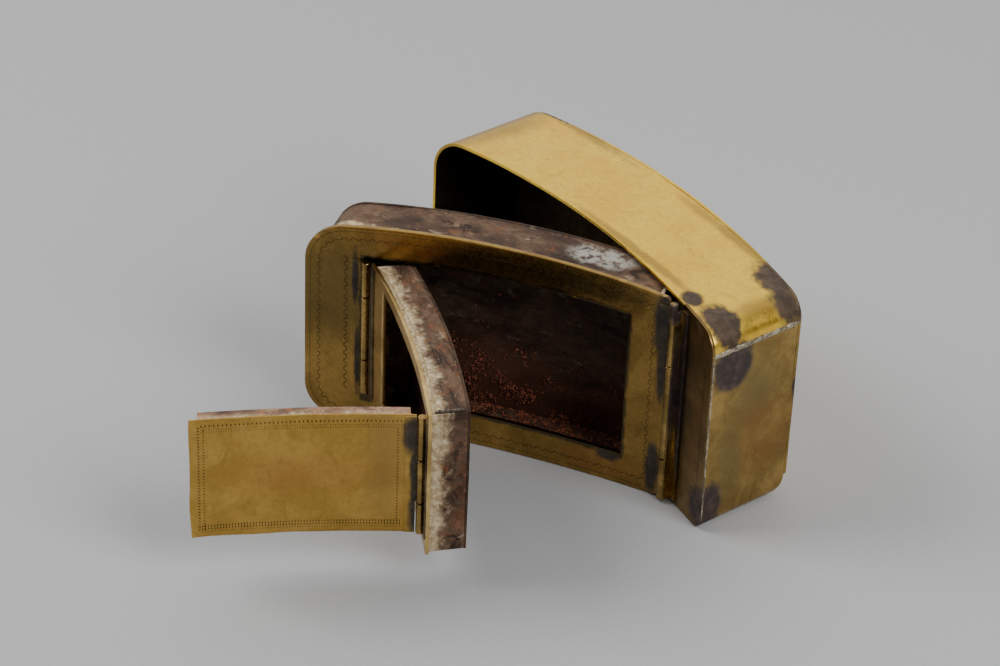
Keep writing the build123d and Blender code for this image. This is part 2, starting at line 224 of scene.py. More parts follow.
def mesh_object(name, body, vertices, faces, edge_radius=0.0, smooth_angle=35.0):
    """Piece from millimetre points (x, depth off the bow, z), with rounded sharp edges."""
    mesh = bpy.data.meshes.new(name)
    placed = [(x * MM, (depth + bow(x)) * MM, z * MM) for x, depth, z in vertices]
    mesh.from_pydata(placed, [], faces)
    mesh.validate()
    tidy = bmesh.new()
    tidy.from_mesh(mesh)
    bmesh.ops.remove_doubles(tidy, verts=tidy.verts, dist=1e-7)
    bmesh.ops.dissolve_degenerate(tidy, dist=1e-7, edges=tidy.edges)
    bmesh.ops.recalc_face_normals(tidy, faces=tidy.faces)
    tidy.to_mesh(mesh)
    tidy.free()
    piece = bpy.data.objects.new(name, mesh)
    bpy.context.scene.collection.objects.link(piece)
    if edge_radius:
        bevel = piece.modifiers.new("edge", "BEVEL")
        bevel.width = edge_radius * MM
        bevel.segments = 2
        bevel.limit_method = "ANGLE"
        bevel.angle_limit = math.radians(50)
        evaluated = piece.evaluated_get(bpy.context.evaluated_depsgraph_get())
        rounded = bpy.data.meshes.new_from_object(evaluated)
        piece.modifiers.clear()
        piece.data = rounded
    piece.data.polygons.foreach_set("use_smooth", [True] * len(piece.data.polygons))
    piece.data.set_sharp_from_angle(angle=math.radians(smooth_angle))
    piece.matrix_world = FRAMES[body]
    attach(piece, body)
    return piece


def stand_for(piece, material, *nodes):
    """The piece replaces CAD nodes and takes its material."""
    piece.data.materials.clear()
    piece.data.materials.append(material)
    if nodes:
        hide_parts(*nodes)
    return piece


def quad_grid(rows, columns, start=0, closed=False):
    """Quads over a rows by columns block of vertices, row by row."""
    faces = []
    last = columns if closed else columns - 1
    for r in range(rows - 1):
        for c in range(last):
            d = (c + 1) % columns
            a = start + r * columns
            b = a + columns
            faces.append((a + c, a + d, b + d, b + c))
    return faces


def slab_faces(columns, rows, start=0):
    """Faces of a slab whose two sides are columns by rows blocks of vertices."""
    block = columns * rows
    faces = quad_grid(columns, rows, start=start) + quad_grid(columns, rows, start=start + block)
    rim = [c * rows for c in range(columns)]
    rim += [(columns - 1) * rows + j for j in range(1, rows)]
    rim += [c * rows + rows - 1 for c in range(columns - 2, -1, -1)]
    rim += list(range(rows - 2, 0, -1))
    for a, b in zip(rim, rim[1:] + rim[:1]):
        faces.append((start + a, start + b, start + b + block, start + a + block))
    return faces


def frame_plate(name, body, outer, inner, front, back, wave, seed, edge_radius, steps=10, flare=None):
    """Sheet between an outer outline and a window outline, as one closed ring."""
    xs = [p[0] for p in inner]
    zs = [p[1] for p in inner]
    centre = ((min(xs) + max(xs)) / 2, (min(zs) + max(zs)) / 2)
    angles = sorted({math.atan2(z - centre[1], x - centre[0]) for x, z in outer + inner})
    spread = [angles[0]]
    for a in angles[1:]:
        if a - spread[-1] > 1e-4:
            spread.append(a)
    outside = [ray_hit(outer, centre, a) for a in spread]
    inside = [ray_hit(inner, centre, a) for a in spread]
    count = len(spread)
    vertices = []
    for side in ("front", "back"):
        order = range(steps + 1) if side == "front" else range(steps, -1, -1)
        for k in order:
            t = k / steps
            for (xi, zi), (xo, zo) in zip(inside, outside):
                x = xi + (xo - xi) * t
                z = zi + (zo - zi) * t
                depth = (front if side == "front" else back) + waviness(x, z, wave, seed)
                if flare:
                    depth += flare(t)
                vertices.append((x, depth, z))
    rows = 2 * (steps + 1)
    faces = quad_grid(rows, count, closed=True)
    top = (rows - 1) * count
    faces += [(top + c, top + (c + 1) % count, (c + 1) % count, c) for c in range(count)]
    return mesh_object(name, body, vertices, faces, edge_radius)


def span_at(points, x):
    """Lowest and highest z of a closed outline at x."""
    hits = []
    for i, (x0, z0) in enumerate(points):
        x1, z1 = points[(i + 1) % len(points)]
        if min(x0, x1) - 1e-6 <= x <= max(x0, x1) + 1e-6:
            if abs(x1 - x0) < 1e-9:
                hits += [z0, z1]
            else:
                t = (x - x0) / (x1 - x0)
                hits.append(z0 + (z1 - z0) * t)
    return min(hits), max(hits)


def solid_plate(name, body, points, front, back, wave, seed, edge_radius, low_limit=None, rows=36, columns=90,
                sag=0.0):
    """Sheet that fills a closed outline, as columns from its lower to its upper edge."""
    left = min(p[0] for p in points)
    right = max(p[0] for p in points)
    vertices = []
    middle, half = (left + right) / 2, (right - left) / 2
    xs = [middle - half * math.cos(math.pi * i / columns) for i in range(columns + 1)]
    for depth in (front, back):
        for x in xs:
            low, high = span_at(points, x)
            if low_limit is not None:
                low = max(low, low_limit)
            for j in range(rows + 1):
                z = low + (high - low) * j / rows
                vertices.append((x, depth + waviness(x, z, wave, seed) - sag * wave, z))
    faces = slab_faces(len(xs), rows + 1)
    return mesh_object(name, body, vertices, faces, edge_radius)


def band(name, body, path, front, back, sheet, wave, seed, edge_radius, heel=0.0, rows=14, closed=False):
    """Sheet bent along a path in front view, from its front to its back.

    The front may be a function of x. A heel rolls the low back edge.
    """
    count = len(path)
    normals = []
    for i, p in enumerate(path):
        a = path[i - 1] if (i or closed) else p
        b = path[(i + 1) % count] if (i + 1 < count or closed) else p
        before = Vector((p[0] - a[0], p[1] - a[1]))
        after = Vector((b[0] - p[0], b[1] - p[1]))
        before = before.normalized() if before.length else after.normalized()
        after = after.normalized() if after.length else before
        mean = (before + after).normalized()
        stretch = 1 / max(0.6, mean.dot(after))
        normals.append(Vector((-mean.y, mean.x)) * stretch)
    depth_steps = [(k / rows, 0.0) for k in range(rows + 1)]
    if heel:
        depth_steps += [(1.0, math.pi / 2 * k / 7) for k in range(1, 8)]
    vertices = []
    for layer in (0, 1):
        radius = max(heel - layer * sheet, 0.0)
        order = depth_steps if layer == 0 else depth_steps[::-1]
        for t, angle in order:
            for (x, z), normal in zip(path, normals):
                start = front(x) if callable(front) else front
                straight = back - heel
                depth = start + (straight - start) * t + radius * math.sin(angle)
                rise = radius * (1 - math.cos(angle)) + layer * sheet if heel else -1e9
                bump = waviness(x + z * 0.5, depth * 1.6, wave, seed) + 0.4 * wave
                px = x + normal.x * (layer * sheet + bump)
                pz = max(z + normal.y * (layer * sheet + bump), rise)
                vertices.append((px, depth, pz))
    total = 2 * len(depth_steps)
    faces = quad_grid(total, count, closed=closed)
    top = (total - 1) * count
    last = count if closed else count - 1
    faces += [(top + c, top + (c + 1) % count, (c + 1) % count, c) for c in range(last)]
    if not closed:
        half = len(depth_steps)
        for c in (0, count - 1):
            for r in range(half - 1):
                a, b = r * count + c, (r + 1) * count + c
                e, d = (total - 1 - r) * count + c, (total - 2 - r) * count + c
                faces.append((a, b, d, e))
    return mesh_object(name, body, vertices, faces, edge_radius)


def bead(name, body, path, radii, seed, rough, around=10):
    """Uneven run of solder along a list of (x, depth, z), with (across, up) radii and a rough surface."""
    vertices = []
    count = len(path)
    for i, centre in enumerate(path):
        tangent = Vector(path[min(i + 1, count - 1)]) - Vector(path[max(i - 1, 0)])
        tangent.normalize()
        side = Vector((0, 1, 0)) if abs(tangent.y) < 0.7 else Vector((0, 0, 1))
        up = tangent.cross(side).normalized()
        side = up.cross(tangent).normalized()
        taper = min(1.0, 0.25 + i * 0.3, 0.25 + (count - 1 - i) * 0.3)
        swell = 1 + rough * noise.noise(Vector((i * 0.35, seed, 0)))
        for k in range(around):
            angle = 2 * math.pi * k / around
            lump = 1 + rough * noise.noise(Vector((i * 0.8, k * 0.9, seed + 5)))
            spot = Vector(centre)
            spot += side * math.cos(angle) * radii[0] * taper * swell * lump
            spot += up * math.sin(angle) * radii[1] * taper * swell * lump
            vertices.append(tuple(spot))
    faces = quad_grid(count, around, closed=True)
    faces.append(tuple(range(around)))
    faces.append(tuple(range((count - 1) * around, count * around)))
    return mesh_object(name, body, vertices, faces, 0.0, 60)


def punched_marks(name, body, front, marks, wave, seed):
    """Shallow punched dashes on a dented front face: each mark is (x0, z0, x1, z1, width)."""
    lift = 0.05
    vertices = []
    faces = []
    for x0, z0, x1, z1, width in marks:
        along = Vector((x1 - x0, z1 - z0))
        across = Vector((-along.y, along.x)).normalized() * (width / 2)
        start = len(vertices)
        middle = ((x0 + x1) / 2, (z0 + z1) / 2)
        for t in (0.2, 0.8):
            x, z = x0 + along.x * t, z0 + along.y * t
            vertices.append((x + across.x, front, z + across.y))
            vertices.append((x - across.x, front, z - across.y))
        vertices.append((x0, front, z0))
        vertices.append((x1, front, z1))
        vertices.append((middle[0], front - lift, middle[1]))
        a, b, c, d, e, f, g = range(start, start + 7)
        faces += [(e, a, g), (a, c, g), (c, f, g), (f, d, g), (d, b, g), (b, e, g), (e, b, d, f, c, a)]
    vertices = [(x, depth + waviness(x, z, wave, seed), z) for x, depth, z in vertices]
    return mesh_object(name, body, vertices, faces, 0.0, 10)


def zigzag(path, pitch, swing, width, closed=False):
    """Marks of a wriggled line along a path in front view."""
    points = path + path[:1] if closed else path
    lengths = [0.0]
    for a, b in zip(points, points[1:]):
        lengths.append(lengths[-1] + math.dist(a, b))
    count = max(2, round(lengths[-1] / pitch))
    corners = []
    k = 0
    for i in range(count + 1):
        s = lengths[-1] * i / count
        while k < len(lengths) - 2 and lengths[k + 1] < s:
            k += 1
        t = (s - lengths[k]) / max(lengths[k + 1] - lengths[k], 1e-9)
        a, b = Vector(points[k]), Vector(points[k + 1])
        normal = Vector((-(b - a).y, (b - a).x)).normalized()
        spot = a.lerp(b, min(max(t, 0), 1)) + normal * swing * (1 if i % 2 else -1)
        corners.append(spot)
    return [(a.x, a.y, b.x, b.y, width) for a, b in zip(corners, corners[1:])]


def dashes(start, end, pitch, length, width, lean=0.0):
    """Marks of a row of dashes across the line from start to end."""
    count = max(1, round(math.dist(start, end) / pitch))
    a, b = Vector(start), Vector(end)
    along = (b - a).normalized()
    across = Vector((-along.y, along.x)) * (length / 2) + along * lean
    marks = []
    for i in range(count + 1):
        spot = a.lerp(b, i / count)
        marks.append((spot.x - across.x, spot.y - across.y, spot.x + across.x, spot.y + across.y, width))
    return marks


def granules(name, body, spots, seed):
    """Crusts of rust: small angular crumbs at (x, depth, z, size)."""
    rng = random.Random(seed)
    shape = bmesh.new()
    bmesh.ops.create_icosphere(shape, subdivisions=1, radius=1.0)
    base = [v.co.copy() for v in shape.verts]
    triangles = [[v.index for v in f.verts] for f in shape.faces]
    shape.free()
    vertices = []
    faces = []
    for x, depth, z, size in spots:
        start = len(vertices)
        squash = Vector((rng.uniform(0.6, 1.3), rng.uniform(0.5, 1.0), rng.uniform(0.6, 1.3)))
        for co in base:
            r = size * rng.uniform(0.65, 1.2)
            vertices.append((x + co.x * squash.x * r, depth + co.y * squash.y * r, z + co.z * squash.z * r))
        faces += [tuple(start + i for i in f) for f in triangles]
    return mesh_object(name, body, vertices, faces, 0.0, 25)


# ---- Node materials ----
class Paint:
    """Small helper that builds one node material in a body's own millimetre coordinates."""

    def __init__(self, name):
        self.material = bpy.data.materials.new(name)
        self.material.use_nodes = True
        self.tree = self.material.node_tree
        self.shader = self.tree.nodes["Principled BSDF"]
        place = self.tree.nodes.new("ShaderNodeTexCoord")
        self.coords = self.vector("MULTIPLY", place.outputs["Object"], (1 / MM, 1 / MM, 1 / MM))

    def link(self, source, socket):
        """Plug a socket, or set a constant."""
        if isinstance(source, bpy.types.NodeSocket):
            self.tree.links.new(source, socket)
        elif isinstance(source, tuple) and len(source) == 3 and socket.type == "RGBA":
            socket.default_value = (*source, 1.0)
        else:
            socket.default_value = source

    def vector(self, operation, a, b=None):
        node = self.tree.nodes.new("ShaderNodeVectorMath")
        node.operation = operation
        self.link(a, node.inputs[0])
        if b is not None:
            self.link(b, node.inputs[1])
        return node.outputs["Value" if operation == "LENGTH" else "Vector"]

    def math(self, operation, a, b=0.5, clamp=False):
        node = self.tree.nodes.new("ShaderNodeMath")
        node.operation = operation
        node.use_clamp = clamp
        self.link(a, node.inputs[0])
        self.link(b, node.inputs[1])
        return node.outputs[0]

    def noise(self, scale, detail=4.0, rough=0.55, stretch=(1, 1, 1), distortion=0.0):
        """Noise whose features are about 1/scale mm across."""
        node = self.tree.nodes.new("ShaderNodeTexNoise")
        node.inputs["Scale"].default_value = scale
        node.inputs["Detail"].default_value = detail
        node.inputs["Roughness"].default_value = rough
        node.inputs["Distortion"].default_value = distortion
        coords = self.coords if stretch == (1, 1, 1) else self.vector("MULTIPLY", self.coords, stretch)
        self.link(coords, node.inputs["Vector"])
        return node.outputs["Fac"]

    def cells(self, scale, stretch=(1, 1, 1)):
        node = self.tree.nodes.new("ShaderNodeTexVoronoi")
        node.inputs["Scale"].default_value = scale
        coords = self.coords if stretch == (1, 1, 1) else self.vector("MULTIPLY", self.coords, stretch)
        self.link(coords, node.inputs["Vector"])
        return node.outputs["Distance"]

    def ramp(self, value, low, high):
        """0 below low, 1 above high, smooth between; low may be the larger."""
        node = self.tree.nodes.new("ShaderNodeMapRange")
        node.interpolation_type = "SMOOTHSTEP"
        self.link(value, node.inputs["Value"])
        node.inputs["From Min"].default_value = min(low, high)
        node.inputs["From Max"].default_value = max(low, high)
        node.inputs["To Min"].default_value = 0.0 if low < high else 1.0
        node.inputs["To Max"].default_value = 1.0 if low < high else 0.0
        return node.outputs["Result"]

    def mix(self, factor, a, b):
        """Colour mix."""
        node = self.tree.nodes.new("ShaderNodeMix")
        node.data_type = "RGBA"
        self.link(factor, node.inputs["Factor"])
        self.link(a, node.inputs[6])
        self.link(b, node.inputs[7])
        return node.outputs[2]

    def spot(self, centre, radii, ragged=0.5, scale=0.35, edge=0.12):
        """Ragged stain: 1 inside an ellipsoid about centre, 0 outside."""
        away = self.vector("SUBTRACT", self.coords, centre)
        scaled = self.vector("MULTIPLY", away, tuple(1 / r for r in radii))
        distance = self.vector("LENGTH", scaled)
        wobble = self.math("MULTIPLY", self.math("SUBTRACT", self.noise(scale, 5.0, 0.65), 0.5), ragged * 2)
        return self.ramp(self.math("ADD", distance, wobble), 1 + edge, 1 - edge)

    def any(self, *masks):
        result = masks[0]
        for m in masks[1:]:
            result = self.math("MAXIMUM", result, m)
        return result

    def times(self, a, b):
        return self.math("MULTIPLY", a, b)

    def pointiness(self):
        """Above a half on convex edges, below it in corners."""
        return self.tree.nodes.new("ShaderNodeNewGeometry").outputs["Pointiness"]

    def near_window(self, left, right, low, high, reach):
        """1 along the edge of a crowned window, fading raggedly to 0 at its reach."""
        x, z = self.axis(0), self.axis(2)
        flat = self.math("ADD", z, self.math("MULTIPLY", self.times(x, x), 1 / (2 * CROWN_RADIUS)))
        beside = self.math("SUBTRACT", self.math("ABSOLUTE", self.math("SUBTRACT", x, (left + right) / 2)),
                           (right - left) / 2)
        above = self.math("SUBTRACT", self.math("ABSOLUTE", self.math("SUBTRACT", flat, (low + high) / 2)),
                          (high - low) / 2)
        away = self.math("MAXIMUM", beside, above)
        ragged = self.math("ADD", away, self.times(self.math("SUBTRACT", self.noise(0.3, 2.0), 0.5), 1.6))
        return self.ramp(ragged, reach, reach * 0.3)

    def axis(self, index):
        node = self.tree.nodes.new("ShaderNodeSeparateXYZ")
        self.link(self.coords, node.inputs[0])
        return node.outputs[index]

    def finish(self, colour, roughness, metallic, bumps=()):
        """Set the shader; bumps are (height, strength, distance in mm)."""
        self.link(colour, self.shader.inputs["Base Color"])
        self.link(roughness, self.shader.inputs["Roughness"])
        self.link(metallic, self.shader.inputs["Metallic"])
        normal = None
        for height, strength, distance in bumps:
            node = self.tree.nodes.new("ShaderNodeBump")
            node.inputs["Strength"].default_value = strength
            node.inputs["Distance"].default_value = distance * MM
            self.link(height, node.inputs["Height"])
            if normal is not None:
                self.link(normal, node.inputs["Normal"])
            normal = node.outputs["Normal"]
        if normal is not None:
            self.link(normal, self.shader.inputs["Normal"])
        return self.material


def blend_value(paint, factor, a, b):
    """Number that goes from a to b with factor."""
    return paint.math("ADD", paint.math("MULTIPLY", factor, b - a), a)


def brass(name, bright, dull, stains, roughness, speck=0.5, painted_highlights=None, film_and_shade=None,
          film_and_shade_colour=(0.16, 0.12, 0.05), worn=0.7, window=None,
          stain_tones=((0.022, 0.013, 0.016), (0.070, 0.040, 0.034))):
    """Worn brass: bright and dull tones, pits, fine scratches, dark tarnish stains, and darker brown patches
    that are tarnish in places and painted shade and painted dark reflections in others.

    A window is darkened around its edge, worn paints the convex edges bright, and painted highlights are
    lighter orange patches that stand in for reflected light.
    """
    p = Paint(name)
    cloud = p.ramp(p.noise(0.09, 6.0, 0.62, distortion=0.4), 0.38, 0.62)
    fine = p.ramp(p.noise(0.9, 6.0, 0.65), 0.35, 0.75)
    smear = p.ramp(p.noise(0.22, 6.0, 0.7, (1.0, 1.0, 0.5), 1.2), 0.5, 0.72)
    scratch = p.noise(2.2, 3.0, 0.5, (0.25, 1.0, 3.0))
    colour = p.mix(cloud, bright, dull)
    colour = p.mix(p.times(fine, 0.25), colour, tuple(c * 0.5 for c in dull))
    colour = p.mix(p.times(smear, 0.35), colour, tuple(c * 0.45 for c in dull))
    # Darker brown patches: tarnish in some places, painted shade and painted dark reflections in others.
    if film_and_shade:
        film_and_shade_mask = p.any(*[p.spot(*f) for f in film_and_shade])
        colour = p.mix(p.times(film_and_shade_mask, 0.8), colour, film_and_shade_colour)
    if window:
        colour = p.mix(p.times(p.near_window(*window), 0.85), colour, (0.05, 0.045, 0.03))
    # Painted highlights: lighter orange patches that stand in for light reflected on the brass.
    if painted_highlights:
        painted_highlight_mask = p.any(*[p.spot(*w) for w in painted_highlights])
        colour = p.mix(p.times(painted_highlight_mask, 0.35), colour, (0.40, 0.17, 0.05))
    pits = p.ramp(p.cells(0.55), 0.20 * speck, 0.06 * speck)
    gate = p.ramp(p.noise(0.12, 2.0), 0.42, 0.6)
    pits = p.times(pits, gate)
    specks = p.times(p.ramp(p.cells(1.9), 0.16, 0.07), p.ramp(p.noise(0.25, 3.0), 0.5, 0.62))
    dots = p.any(pits, p.times(specks, 0.8))
    colour = p.mix(p.times(dots, 0.75), colour, (0.09, 0.05, 0.03))
    rough = blend_value(p, fine, roughness, roughness + 0.12)
    metal = blend_value(p, dots, 1.0, 0.4)
    if stains:
        mask = p.any(*[p.spot(*s) for s in stains])
        tarnish = p.mix(p.ramp(p.noise(0.5, 4.0), 0.4, 0.65), *stain_tones)
        colour = p.mix(p.times(mask, 0.96), colour, tarnish)
        rough = p.math("ADD", rough, p.times(mask, 0.22), clamp=True)
        metal = p.times(metal, blend_value(p, mask, 1.0, 0.25))
    if worn:
        edge = p.ramp(p.pointiness(), 0.53, 0.62)
        colour = p.mix(p.times(edge, worn), colour, tuple(min(1.0, c * 1.2) for c in bright))
    return p.finish(
        colour,
        rough,
        metal,
        [(scratch, 0.10, 0.03), (p.math("SUBTRACT", 1.0, dots), 0.5, 0.06), (p.noise(0.6, 4.0), 0.12, 0.12)],
    )


def tinned(name, cream=None, rust=0.5, pale_spots=(), cream_spots=(), rust_spots=(), shade=1.0):
    """Tinned iron: dull brown with rust blooms.

    Cream is the tin behind a brass plate, as (front, reach, softness). Shade scales every tone of the iron.
    """
    p = Paint(name)

    def tone(red, green, blue):
        return (red * shade, green * shade, blue * shade)

    cloud = p.ramp(p.noise(0.13, 7.0, 0.68, (0.6, 1, 1), 0.5), 0.38, 0.62)
    colour = p.mix(cloud, tone(0.050, 0.028, 0.017), tone(0.17, 0.105, 0.065))
    mottle = p.ramp(p.noise(0.45, 7.0, 0.75, (0.7, 1, 1), 0.8), 0.46, 0.60)
    colour = p.mix(p.times(mottle, 0.6), colour, tone(0.075, 0.040, 0.026))
    blotch = p.ramp(p.noise(0.24, 7.0, 0.75, (1, 1, 1), 0.9), 0.64 - rust * 0.2, 0.72)
    colour = p.mix(p.times(blotch, 0.75), colour, tone(0.27, 0.085, 0.028))
    dark = p.ramp(p.noise(0.19, 6.0, 0.72, (0.4, 1, 1), 0.7), 0.52, 0.64)
    colour = p.mix(p.times(dark, 0.85), colour, tone(0.024, 0.014, 0.011))
    pale = p.ramp(p.noise(0.36, 8.0, 0.75, (0.6, 1, 1), 0.4), 0.57, 0.68)
    colour = p.mix(p.times(pale, 0.6), colour, tone(0.44, 0.34, 0.22))
    if rust_spots:
        red = p.any(*[p.spot(*f) for f in rust_spots])
        colour = p.mix(p.times(red, 0.8), colour, (0.13, 0.050, 0.030))
    if pale_spots:
        grey = p.any(*[p.spot(*f) for f in pale_spots])
        fleck = p.ramp(p.noise(0.5, 6.0, 0.7), 0.38, 0.55)
        colour = p.mix(p.times(p.times(grey, 0.85), fleck), colour, (0.46, 0.44, 0.38))
    if cream:
        front, reach, softness = cream
        depth = p.math("SUBTRACT", p.axis(1), bow_of(p))
        wander = p.times(p.math("SUBTRACT", p.noise(0.17, 8.0, 0.72, distortion=0.5), 0.5), 4.5 * reach)
        grain = p.times(p.math("SUBTRACT", p.noise(1.1, 5.0, 0.7), 0.5), 2.0 * softness)
        ragged = p.math("ADD", p.math("ADD", depth, wander), grain)
        tin = p.ramp(ragged, front + reach + softness, front + reach - softness)
        if cream_spots:
            tin = p.any(tin, *[p.spot(*f) for f in cream_spots])
        light = p.mix(p.ramp(p.noise(0.7, 7.0, 0.72), 0.36, 0.62), (0.74, 0.62, 0.40), (0.40, 0.27, 0.14))
        colour = p.mix(p.times(tin, 0.9), colour, light)
    rough = blend_value(p, cloud, 0.55, 0.8)
    metal = blend_value(p, cloud, 0.25, 0.08)
    p.shader.inputs["Specular IOR Level"].default_value = 0.22
    return p.finish(
        colour,
        rough,
        metal,
        [(p.noise(0.9, 6.0, 0.7), 0.5, 0.12), (p.noise(3.5, 4.0, 0.6), 0.35, 0.05)],
    )


def bow_of(p):
    """The bow as a node value: -(x squared) over twice the radius, in millimetres."""
    x = p.axis(0)
    return p.math("MULTIPLY", p.times(x, x), -1 / (2 * BOW_RADIUS))


def solder(name, bright, dark, green=0.0, rust=0.3):
    """Soft solder: grey to cream, crusted, with verdigris where green is set."""
    p = Paint(name)
    tone = p.ramp(p.noise(0.7, 6.0, 0.7), 0.38, 0.62)
    colour = p.mix(tone, dark, bright)
    brown = p.ramp(p.noise(0.35, 5.0, 0.7), 0.55, 0.7)
    colour = p.mix(p.times(brown, rust), colour, (0.22, 0.10, 0.05))
    if green:
        crust = p.ramp(p.noise(0.5, 5.0, 0.7), 0.5, 0.6)
        colour = p.mix(p.times(crust, green), colour, (0.28, 0.33, 0.23))
    return p.finish(colour, blend_value(p, tone, 0.6, 0.42), blend_value(p, tone, 0.3, 0.6), [
        (p.noise(1.6, 5.0, 0.7), 0.6, 0.1),
        (p.noise(5.0, 3.0, 0.6), 0.3, 0.04),
    ])


def rust_crust(name):
    """Red-brown rust crumbs."""
    p = Paint(name)
    tone = p.ramp(p.noise(0.8, 4.0), 0.35, 0.65)
    colour = p.mix(tone, (0.10, 0.028, 0.015), (0.40, 0.115, 0.055))
    return p.finish(colour, 0.9, 0.0, [(p.noise(5.0, 4.0), 0.5, 0.08)])


# ---- Extents that the pieces are built from ----
CASE = Extent("case_band")
STRIP = Extent("case_front_strip")
CASE_BACK = Extent("case_back_plate")
PANEL = Extent("case_end_panel")
MIDDLE = Extent("middle_front_plate")
MIDDLE_WALL = Extent("middle_wall_band")
MIDDLE_END = Extent("middle_end_wall")
MIDDLE_BACK = Extent("middle_back_plate")
INNER = Extent("inner_front_plate")
INNER_WALL = Extent("inner_wall_band")
INNER_END = Extent("inner_end_panel")
INNER_BACK = Extent("inner_back_plate")
LID = Extent("lid_front_plate")
LID_RIM = Extent("lid_wall_rim")
MIDDLE_LEAF = Extent("middle_hinge_leaf")
WINDOW_LEAF = Extent("window_hinge_leaf")
LID_LEAF = Extent("lid_hinge_leaf")

# ---- Measures of this object, in millimetres ----
CASE_TOP = CASE.high
X_END = PANEL.right
SEAM_Z = PANEL.high
HEEL = 5.0
CASE_RADII = (9.0, 9.0, 5.0, 2.5)
PLATE_RADII = (9.0, 9.0, 1.0, 1.0)
BORDER_INSET = 3.0
MARK_LIFT = 0.005
# Waviness and seed of the plates that also carry punched marks, which follow the same dents.
MIDDLE_DENTS = (0.10, 21.0)
STRIP_DENTS = (0.08, 2.0)
LID_DENTS = (0.12, 91.0)
HINGE_OF = {
    "case_hinge_leaf": "case_hinge", "middle_hinge_leaf": "case_hinge", "case_hinge_pin": "case_hinge",
    "window_hinge_leaf": "inner_hinge", "inner_hinge_leaf": "inner_hinge", "window_hinge_pin": "inner_hinge",
    "lid_hinge_fixed_leaf": "lid_hinge", "lid_hinge_leaf": "lid_hinge", "lid_hinge_pin": "lid_hinge",
}
BARREL_RADIUS = 0.85
LEAF_SHEET = 0.35
LEAF_EDGE = 1.05
KNUCKLE_GAP = 0.3
CASE_KNUCKLES = (0.8, 11.0, 35.0, 50.0)
WINDOW_KNUCKLES = (9.0, 17.6, 33.9, 42.4)
LID_KNUCKLES = (12.2, 19.7, 30.8, 41.1)


def hinge_axis(node):
    """Shut-frame place of the axis of the hinge that a leaf or pin belongs to."""
    joint = next(j for j in frame["joints"] if j["name"] == HINGE_OF[node])
    spot = FRAMES[BODY_OF[node]].inverted() @ Vector(joint["pos_m"]) / MM
    return spot.x, spot.y


def window_of(node, body, radii):
    """Millimetre window of a CAD front plate: the box of its points well inside its outline."""
    back = FRAMES[body].inverted()
    extent = Extent(node)
    points = [(back @ v.co) / MM for v in frame["nodes"][node].data.vertices]
    margin = 1.5
    within = shrunk(outline(extent.left, extent.right, extent.low, extent.high, radii), margin)
    left, right = min(p[0] for p in within), max(p[0] for p in within)
    inner = []
    for p in points:
        if left < p.x < right:
            low, high = span_at(within, p.x)
            if low < p.z < high:
                inner.append(p)
    xs = [p.x for p in inner]
    zs = [p.z for p in inner]
    return min(xs), max(xs), min(zs), max(zs)


WINDOW_BOX = window_of("middle_front_plate", "middle_box", PLATE_RADII)
WINDOW_LEFT, WINDOW_RIGHT, WINDOW_LOW, WINDOW_HIGH = WINDOW_BOX
TRAY_LEFT, TRAY_RIGHT, TRAY_LOW, TRAY_HIGH = window_of("inner_front_plate", "inner_box", (0, 0, 0, 0))


# ---- Case ----
def build_case():
    """Shell of the case: band, end panel, back plate and the strip beside the hinge."""
    sheet = STRIP.back - STRIP.front
    points = outline(CASE.left, PANEL.right, CASE.low, CASE_TOP, CASE_RADII)
    corner_x = PANEL.right - CASE_RADII[3] - 1e-3
    split = [i for i, (x, z) in enumerate(points) if x > corner_x and z < SEAM_Z]
    upper = [p for i, p in enumerate(points) if i not in split]
    lower = [points[i] for i in split if points[i][1] < CASE_RADII[3] - 1e-3]
    right_side = line_points((PANEL.right, CASE_RADII[3]), (PANEL.right, SEAM_Z), 1.0)
    corner = sorted(lower, key=lambda p: p[0])
    body_path = [(PANEL.right, SEAM_Z)] + upper
    panel_path = [upper[-1]] + corner + right_side

    def mouth(x):
        """Front edge of the shell: lapped by the strip to the right of the hinge."""
        return STRIP.back if x > STRIP.left + 0.05 else STRIP.front

    shell = band("case_shell", "case", body_path, mouth, CASE_BACK.front, sheet, 0.10, 3.0, 0.09, HEEL, 16)
    stand_for(shell, CASE_BRASS, "case_band")
    lining(shell)
    panel = band(
        "case_end", "case", panel_path, STRIP.back, CASE_BACK.front, sheet, 0.12, 9.0, 0.07, HEEL, 16
    )
    stand_for(panel, PANEL_BRASS, "case_end_panel")
    lining(panel)
    panel.data.materials.append(CASE_BRASS)
    for face in panel.data.polygons:
        if face.normal.y > 0.35:
            face.material_index = 2
    back = solid_plate(
        "case_back", "case", points, CASE_BACK.front, CASE_BACK.back, 0.10, 5.0, 0.10, low_limit=HEEL, sag=0.5
    )
    stand_for(back, CASE_BRASS, "case_back_plate")
    lining(back)
    back.data.materials.append(PANEL_BRASS)
    for face in back.data.polygons:
        if face.normal.x > 0.35 and face.center.x / MM > PANEL.right - 1.0:
            face.material_index = 2
    right_part = [p for p in points if p[0] > STRIP.left]
    low, high = span_at(points, STRIP.left)
    strip_points = right_part + [(STRIP.left, high), (STRIP.left, low)]
    strip_points = sorted(strip_points, key=lambda p: math.atan2(p[1] - CASE_TOP / 2, p[0] - STRIP.left - 5))
    strip = solid_plate(
        "case_strip", "case", strip_points, STRIP.front, STRIP.back, *STRIP_DENTS, 0.14, rows=60, columns=26
    )
    stand_for(strip, STRIP_BRASS, "case_front_strip")


def lining(piece):
    """Give the faces that look into the shell the inside material."""
    piece.data.materials.append(CASE_INSIDE)
    middle_depth = (STRIP.front + CASE_BACK.front) / 2
    for face in piece.data.polygons:
        centre = face.center / MM
        depth = centre.y - bow(centre.x)
        inward = Vector((-0.2 * centre.x, middle_depth - depth, CASE_TOP / 2 - centre.z))
        if depth > CASE_BACK.front - 0.1:
            inside = face.normal.y < -0.5 and depth < (CASE_BACK.front + CASE_BACK.back) / 2
        else:
            inside = face.normal.dot(inward) > 0.2 * inward.length and face.normal.y > -0.98
        if depth > 0 and face.normal.y < -0.3:
            inside = True
        face.material_index = 1 if inside else 0


